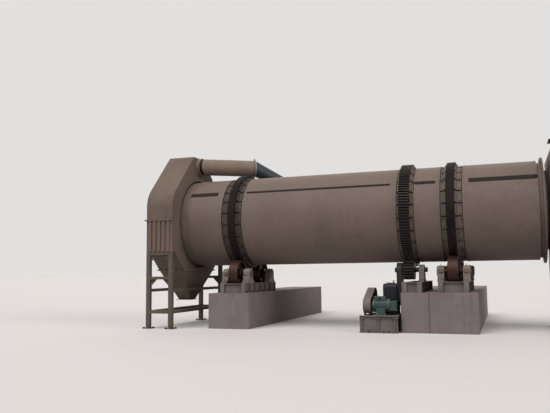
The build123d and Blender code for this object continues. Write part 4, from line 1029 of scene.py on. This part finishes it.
# %% Anchor bolts
flange_top, beam_flange_side, web_from_end, beam_height = 0.014, 0.033, 0.0555, 0.23
post_from_edge, plate_bolt_aside, plate_top = 0.11, 0.082, 0.016
anchors = []
for name in ("base_frame_discharge", "base_frame_feed", "base_frame_gear"):
    low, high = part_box(name)
    for edge, inward in ((low.x, 1), (high.x, -1)):
        beam = edge + inward * web_from_end
        foot = low.z if inward > 0 else high.z - beam_height
        for y in (-0.92, -0.55, -0.18, 0.18, 0.55, 0.92):
            for shift in (-beam_flange_side, beam_flange_side):
                anchors.append(standing((beam + shift, y, foot + flange_top), drum_up))
for name in ("hood_frame", "feed_frame"):
    low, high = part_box(name)
    for x in (low.x + post_from_edge, high.x - post_from_edge):
        for y in (low.y + post_from_edge, high.y - post_from_edge):
            for shift_x in (-plate_bolt_aside, plate_bolt_aside):
                for shift_y in (-plate_bolt_aside, plate_bolt_aside):
                    anchors.append(standing((x + shift_x, y + shift_y, plate_top)))
lay(anchor_bolt, anchors, "anchor_bolts", dark_steel)
print(len(anchors), "anchor bolts")

# %% [markdown]
# ## Belts and pulleys
#
# Four V-belts run side by side. The hull of two discs has the shape of a tight belt, so each belt
# starts as two thin cylinders, whose flat sides are then deleted, and the band that is left gets
# its thickness. A grooved pulley is built like a turned part: a round face is extruded step by step,
# and made smaller and larger again for each groove.

# %% Four belts
pulley_low, pulley_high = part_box("belt_pulleys")
motor_pulley, reducer_pulley = 0.112, 0.18
belt_middle = (pulley_low.x + pulley_high.x) / 2
motor_line = Vector((belt_middle, pulley_low.y + motor_pulley, pulley_low.z + motor_pulley))
reducer_line = Vector((belt_middle, pulley_high.y - reducer_pulley, pulley_high.z - reducer_pulley))
along_x = Matrix.Rotation(math.radians(90), 4, "Y")
belt_count, belt_pitch, belt_width, belt_height = 4, 0.021, 0.016, 0.012

discs = []
for centre, radius in ((motor_line, motor_pulley), (reducer_line, reducer_pulley)):
    disc = start_rod(radius + 0.002, belt_width, sides=56)
    disc.matrix_world = Matrix.Translation(centre) @ along_x
    settle(disc)
    discs.append(disc)
belt = join(*discs)
open_faces(belt, lambda centre, normal: True)
bpy.ops.mesh.convex_hull()
close()
open_faces(belt, lambda centre, normal: abs(normal.x) > 0.9)
bpy.ops.mesh.delete(type="FACE")
close()
thicken(belt, belt_height)
round_edges(belt, 0.0015)
belt_shifts = [(i - (belt_count - 1) / 2) * belt_pitch for i in range(belt_count)]
belt_places = [Matrix.Translation((shift, 0, 0)) for shift in belt_shifts]
belts = lay(belt, belt_places, "v_belts", rubber)
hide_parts("drive_belts")
discard(belt)
print(belt_count, "belts")


# %% Two grooved pulleys
def step(length, factor=1.0):
    """Extrudes the selected end face and scales it, as the next cut of a lathe."""
    bpy.ops.mesh.extrude_region_move(TRANSFORM_OT_translate={"value": (0, 0, length)})
    if factor != 1.0:
        bpy.ops.transform.resize(value=(factor, factor, 1))


def grooved_pulley(radius, centre):
    """A wheel with a groove for each belt and a hub in its open end."""
    deep = 1 - 0.016 / radius
    edge = 0.0095
    wheel = start_rod(radius, edge, (0, 0, edge / 2), sides=56)
    open_faces(wheel, facing(0, 0, 1))
    for _ in range(belt_count):
        step(0.003, deep)
        step(0.011)
        step(0.003, 1 / deep)
        step(0.004)
    step(edge - 0.004)
    bpy.ops.mesh.inset(thickness=0.028)
    step(-0.026)
    bpy.ops.mesh.inset(thickness=max(0.01, radius - 0.028 - 0.055))
    step(0.03)
    close()
    width = 2 * edge - 0.004 + belt_count * belt_pitch
    wheel.matrix_world = Matrix.Translation(centre) @ along_x @ Matrix.Translation((0, 0, -width / 2))
    settle(wheel)
    return wheel


pulleys = join(grooved_pulley(motor_pulley, motor_line), grooved_pulley(reducer_pulley, reducer_line))
finish_piece(pulleys, "grooved_pulleys", bright_steel)
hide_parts("belt_pulleys")
print("pulleys", round((reducer_line - motor_line).length, 3), "apart")

# %% [markdown]
# ## Motor
#
# The solid has the fins and the bells. What is added is what is handled in service: a lid with
# screws on the terminal box and one on the end, a cable gland, a lifting eye, bolts in the feet and
# slots in the fan cowl. The slots are dark bars laid on the cowl, which cost less than holes.

# %% Motor fittings
motor_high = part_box("motor")[1]
motor_start = belt_middle + 0.085 + 0.02
fan_start, fan_end = motor_start + 0.335, motor_start + 0.4
box_middle = Vector((motor_start + 0.2, motor_line.y, motor_high.z))
lid = start_box((0.2, 0.142, 0.01), box_middle + Vector((0, 0, 0.005)))
round_edges(lid, 0.003, segments=2)
finish_piece(lid, "terminal_lid", motor_paint)
corners = [box_middle + Vector((x, y, 0.009)) for x in (-0.085, 0.085) for y in (-0.057, 0.057)]
lay(small_bolt, upright(corners), "terminal_screws", bright_steel)

gland = start_rod(0.019, 0.022, (0, 0, 0.011), sides=6)
open_faces(gland, facing(0, 0, 1))
bpy.ops.mesh.inset(thickness=0.003)
step(0.014)
bpy.ops.mesh.inset(thickness=0.005)
step(-0.004)
close()
gland.matrix_world = standing(box_middle + Vector((-0.03, -0.075, -0.03)), (0, -1, 0))
finish_piece(gland, "cable_gland", dark_steel)

eye_x, housing_radius = motor_start + 0.07, 0.146
eye_middle = (eye_x, motor_line.y, motor_line.z + housing_radius + 0.026)
bpy.ops.mesh.primitive_torus_add(major_radius=0.022, minor_radius=0.006, major_segments=24,
                                 minor_segments=8, location=eye_middle,
                                 rotation=(math.radians(90), 0, 0))
eye = bpy.context.object
settle(eye)
collar = start_rod(0.014, 0.012, (eye_x, motor_line.y, motor_line.z + 0.15), sides=16)
finish_piece(join(eye, collar), "lifting_eye", bright_steel)

motor_bed, sole_thickness, sole_bolt_aside = 0.37, 0.024, 0.128
places = [(box_middle.x + x, motor_line.y + side * sole_bolt_aside, motor_bed + sole_thickness)
          for x in (-0.085, 0.085) for side in (-1, 1)]
lay(flange_bolt, upright(places), "motor_foot_bolts", bright_steel)

slot_cut = start_box((0.044, 0.007, 0.003))
round_edges(slot_cut, 0.0012)
slot_count, cowl_radius, slots = 36, 0.1495, []
for i in range(slot_count):
    angle = math.radians(360 / slot_count * i)
    out = Vector((0, math.sin(angle), math.cos(angle)))
    centre = Vector(((fan_start + fan_end) / 2, motor_line.y, motor_line.z)) + out * cowl_radius
    sideways = out.cross(Vector((1, 0, 0)))
    turn = from_axes(Vector((1, 0, 0)), -sideways, out)
    if out.z > -0.8:
        slots.append(Matrix.Translation(centre) @ turn)
# The bars' dark colour is painted shade for the inside of the slots.
lay(slot_cut, slots, "cowl_slots", dark_steel)

tail_end, lid_size, lid_screw_aside = fan_end + 0.135, 0.226, 0.1
tail_lid = start_box((0.008, lid_size, lid_size), (tail_end + 0.004, motor_line.y, motor_line.z))
open_faces(tail_lid, facing(1, 0, 0))
inset_and_move(0.03, (0.01, 0, 0))
close()
round_edges(tail_lid, 0.004, segments=2)
finish_piece(tail_lid, "brake_lid", motor_paint)
lid_screws = [standing((tail_end + 0.0075, motor_line.y + y, motor_line.z + z), (1, 0, 0))
              for y in (-lid_screw_aside, lid_screw_aside)
              for z in (-lid_screw_aside, lid_screw_aside)]
lay(small_bolt, lid_screws, "brake_lid_screws", bright_steel)
discard(slot_cut)
print("motor from", round(motor_start, 3), "to", round(fan_end, 3))

# %% [markdown]
# ## Reducer, guard and drive base
#
# A cast housing has ribs where the shafts bear, a hatch with a breather on top and an oil glass.
# The ribs are boxes whose outer end is made narrower, as a casting must taper to leave its mould.

# %% Reducer ribs, hatch and oil fittings
case_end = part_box("reducer")[1].x - 0.115
case_start = case_end - 0.3
case_half, split_height, case_top = 0.25, reducer_line.z, reducer_line.z + 0.335
sole_top, split_flange = 0.526, 0.014
rib_spans = ((sole_top, split_height - split_flange), (split_height + split_flange, case_top - 0.08))
ribs = []
for side in (-1, 1):
    rib_y = reducer_line.y + side * (case_half + 0.012)
    for point in along_line((case_start + 0.05, rib_y, 0), (case_end - 0.05, rib_y, 0), 3):
        for low, high in rib_spans:
            rib = start_box((0.014, 0.026, high - low), (point.x, rib_y, (low + high) / 2))
            open_faces(rib, facing(0, side, 0))
            bpy.ops.transform.resize(value=(0.6, 1, 0.94))
            close()
            ribs.append(rib)
ribs = join(*ribs)
round_edges(ribs, 0.002)
finish_piece(ribs, "reducer_ribs", reducer_paint)

hatch_middle = Vector(((case_start + case_end) / 2, reducer_line.y, case_top))
hatch = start_box((0.17, 0.2, 0.012), hatch_middle + Vector((0, 0, 0.006)))
open_faces(hatch, facing(0, 0, 1))
inset_and_move(0.026, (0, 0, 0.006))
close()
round_edges(hatch, 0.002)
finish_piece(hatch, "reducer_hatch", reducer_paint)
hatch_screws = upright(hatch_middle + Vector((x, y, 0.0115))
                       for x in (-0.072, 0.072) for y in (-0.087, 0, 0.087))
split_line = along_line((case_start + 0.02, 0, 0), (case_end - 0.02, 0, 0), 4)
split_screws = upright((point.x, reducer_line.y + side * (case_half + 0.017), split_height + 0.0135)
                       for point in split_line for side in (-1, 1))
sole_screws = upright((x, reducer_line.y + side * (case_half + 0.024), sole_top)
                      for x in (case_start + 0.025, case_end - 0.025) for side in (-1, 1))
lay(small_bolt, hatch_screws, "hatch_screws", dark_steel)
lay(flange_bolt, split_screws + sole_screws, "reducer_bolts", dark_steel)

breather = start_rod(0.012, 0.03, (0, 0, 0.015), sides=12)
cap = start_rod(0.024, 0.022, (0, 0, 0.04), sides=20)
breather = join(breather, cap)
round_edges(breather, 0.002)
breather.location = hatch_middle + Vector((0.045, 0.05, 0.017))
finish_piece(breather, "breather", bright_steel)
glass = start_rod(0.022, 0.01, sides=24)
open_faces(glass, facing(0, 0, 1))
bpy.ops.mesh.inset(thickness=0.006)
step(-0.004)
close()
glass_point = (case_start + 0.105, reducer_line.y - case_half - 0.004, split_height - 0.08)
glass.matrix_world = standing(glass_point, (0, -1, 0))
finish_piece(glass, "oil_glass", bright_steel)
print("reducer case", round(case_start, 3), "to", round(case_end, 3))

# %% Guard fixings and bolts of the drive base
guard_low, guard_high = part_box("belt_guard")
between = (motor_line + reducer_line) / 2
screw_spots = ((motor_line.y - 0.02, motor_line.z - 0.135),
               (reducer_line.y + 0.03, reducer_line.z + 0.205),
               (between.y, between.z + 0.15), (between.y, between.z - 0.15))
guard_places = []
for side, x in ((-1, guard_low.x), (1, guard_high.x)):
    for y, z in screw_spots:
        guard_places.append(standing((x - side * 0.0005, y, z), (side, 0, 0)))
lay(small_bolt, guard_places, "guard_screws", dark_steel)
base_low, base_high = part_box("drive_base")
base_bolts = upright((x, y, plate_top) for y in (base_low.y + 0.025, base_high.y - 0.025)
                     for x in (base_low.x + 0.2, (base_low.x + base_high.x) / 2 + 0.11, base_high.x - 0.2))
lay(anchor_bolt, base_bolts, "drive_base_bolts", dark_steel)
print(len(guard_places), "guard screws")

# %% [markdown]
# ## Feed end
#
# The feed housing is a flat-sided box of thin plate, so it is stiffened with bars on edge and has
# an access door in front. A bar starts as a box and its ends are drawn in, as they are cut to drain
# and to be welded.

# %% Stiffening bars
house_low, house_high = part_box("feed_housing")
bar_depth, bar_wall = 0.05, 0.008
middle = (house_low + house_high) / 2
bar_length = house_high.z - house_low.z - 0.1
bars = []


def stiffening_bar(foot, length, outward, upright=True):
    """A flat bar on edge, whose outer edge is shorter than the one on the plate."""
    bar = start_box((bar_wall, length, bar_depth), (0, 0, bar_depth / 2))
    open_faces(bar, facing(0, 0, 1))
    bpy.ops.transform.resize(value=(1, 1 - 2 * bar_depth / length, 1))
    close()
    outward = Vector(outward)
    run = Vector((0, 0, 1)) if upright else outward.cross(Vector((0, 0, 1)))
    turn = from_axes(run.cross(outward), run, outward)
    bar.matrix_world = Matrix.Translation(foot) @ turn
    settle(bar)
    return bar


for y in (-1.08, -0.72, 0.72, 1.08):
    bars.append(stiffening_bar((house_high.x, y, middle.z), bar_length, (1, 0, 0)))
for side in (-1, 1):
    face = house_low.y if side < 0 else house_high.y
    for x in (house_low.x + 0.1, house_high.x - 0.1):
        bars.append(stiffening_bar((x, face, middle.z), bar_length, (0, side, 0)))
    bars.append(stiffening_bar((middle.x, face, middle.z + 0.62), 0.36, (0, side, 0), upright=False))
finish_piece(join(*bars), "housing_bars", hood_paint)
print(len(bars), "bars")

# %% Access door
hatch_z = middle.z - 0.15
hatch_door = start_box((0.34, 0.02, 0.56), (middle.x, house_low.y - 0.011, hatch_z))
open_faces(hatch_door, facing(0, -1, 0))
inset_and_move(0.03, (0, 0.01, 0))
close()
round_edges(hatch_door, 0.004, segments=2)
finish_piece(hatch_door, "access_door", hood_paint)
door_bolts = [standing((middle.x + x, house_low.y - 0.0205, hatch_z + z), (0, -1, 0))
              for x in (-0.156, 0.156) for z in (-0.26, -0.09, 0.09, 0.26)]
lay(small_bolt, door_bolts, "access_door_bolts", dark_steel)
print(len(door_bolts), "door bolts")

# %% Seal round the feed neck
neck_radius, ring_bolt_count = 0.86, 30
neck_station = (house_low.x - drum_origin.x) / drum_along.x - 0.04
neck_seal = seal_hoop(neck_station, neck_radius, 0.05, 0.08, -1, 96)
finish_piece(neck_seal, "feed_seal", rubber)
ring = drum_band(neck_station + 0.032, 0.012, neck_radius + 0.09, 0.045)
finish_piece(ring, "feed_seal_ring", hood_paint)
bolt_angles = [math.radians(360 / ring_bolt_count * i) for i in range(ring_bolt_count)]
ring_bolts = [standing(round_drum(neck_station + 0.026, neck_radius + 0.07, angle), -drum_along)
              for angle in bolt_angles]
lay(small_bolt, ring_bolts, "feed_seal_bolts", dark_steel)
print("neck seal at station", round(neck_station, 3))

# %% [markdown]
# ## Floor, light and camera
#
# The machine stands on a plain pale floor. The main light comes from high above the near side, as
# from roof windows, and two weaker ones come from the right and from behind. A sun with a wide angle
# is as soft as a window, and it lights near and far floor alike. The camera stands at eye level, to
# the right of the middle, and looks to the left and slightly up.

# %% Floor
bpy.ops.mesh.primitive_plane_add(size=400, location=(3, 0, -0.001))
floor = bpy.context.object
floor.name = "floor"
pale = bpy.data.materials.new("pale floor")
pale.use_nodes = True
shader = pale.node_tree.nodes["Principled BSDF"]
shader.inputs["Base Color"].default_value = screen(206, 202, 199)
shader.inputs["Roughness"].default_value = 0.9
shader.inputs["Specular IOR Level"].default_value = 0.2
floor.data.materials.append(pale)
print("floor laid")

# %% Light


def soft_sun(name, towards, angle, strength):
    """A sun that shines from a direction, with the softness of a window of that many degrees."""
    bpy.ops.object.light_add(type="SUN", location=(0, 0, 12))
    sun = bpy.context.object
    sun.name = name
    sun.data.angle = math.radians(angle)
    sun.data.energy = strength
    sun.rotation_euler = Vector(towards).to_track_quat("Z", "Y").to_euler()
    print(name, strength)


soft_sun("roof light", (-0.2, -0.65, 0.85), 50, 2.6)
soft_sun("door light", (0.95, -0.3, 0.3), 40, 1.5)
soft_sun("rear light", (-0.35, 0.8, 0.5), 60, 0.7)
world = bpy.data.worlds.new("plain room")
bpy.context.scene.world = world
world.use_nodes = True
tree = world.node_tree
backdrop = tree.nodes["Background"]
backdrop.inputs["Color"].default_value = screen(214, 212, 210)
backdrop.inputs["Strength"].default_value = 0.45
seen = add_node(tree, "ShaderNodeBackground")
seen.inputs["Color"].default_value = screen(226, 224, 222)
seen.inputs["Strength"].default_value = 1.0
ray = add_node(tree, "ShaderNodeLightPath")
direct = maths(tree, "MAXIMUM", ray.outputs["Is Camera Ray"], ray.outputs["Is Glossy Ray"])
direct = maths(tree, "MAXIMUM", direct, ray.outputs["Is Transmission Ray"])
choose = add_node(tree, "ShaderNodeMixShader")
tree.links.new(direct, choose.inputs[0])
tree.links.new(backdrop.outputs[0], choose.inputs[1])
tree.links.new(seen.outputs[0], choose.inputs[2])
tree.links.new(choose.outputs[0], tree.nodes["World Output"].inputs["Surface"])

# %% Camera
# Lens, viewpoint and directions come from a fit to edges of the drum, the rings and the piers.
bpy.ops.object.camera_add()
camera = bpy.context.object
camera.name = "camera"
camera.data.sensor_fit = "HORIZONTAL"
camera.data.sensor_width = 36.0
camera.data.lens = 42.76
camera.data.clip_end = 200.0
look = Vector((-0.330628, 0.938555, 0.098996)).normalized()
up = Vector((0.040786, -0.090587, 0.995053))
right = look.cross(up).normalized()
up = right.cross(look)
viewpoint = Vector((6.2188, -15.6133, 1.3495))
camera.matrix_world = Matrix.Translation(viewpoint) @ from_axes(right, up, -look)
bpy.context.scene.camera = camera
bpy.context.scene.view_settings.view_transform = "Standard"
print("camera", round(viewpoint.z, 2), "m above the floor")

# %% Removing the models that were only copied, and the end
discard(small_bolt, flange_bolt, anchor_bolt, rivet)
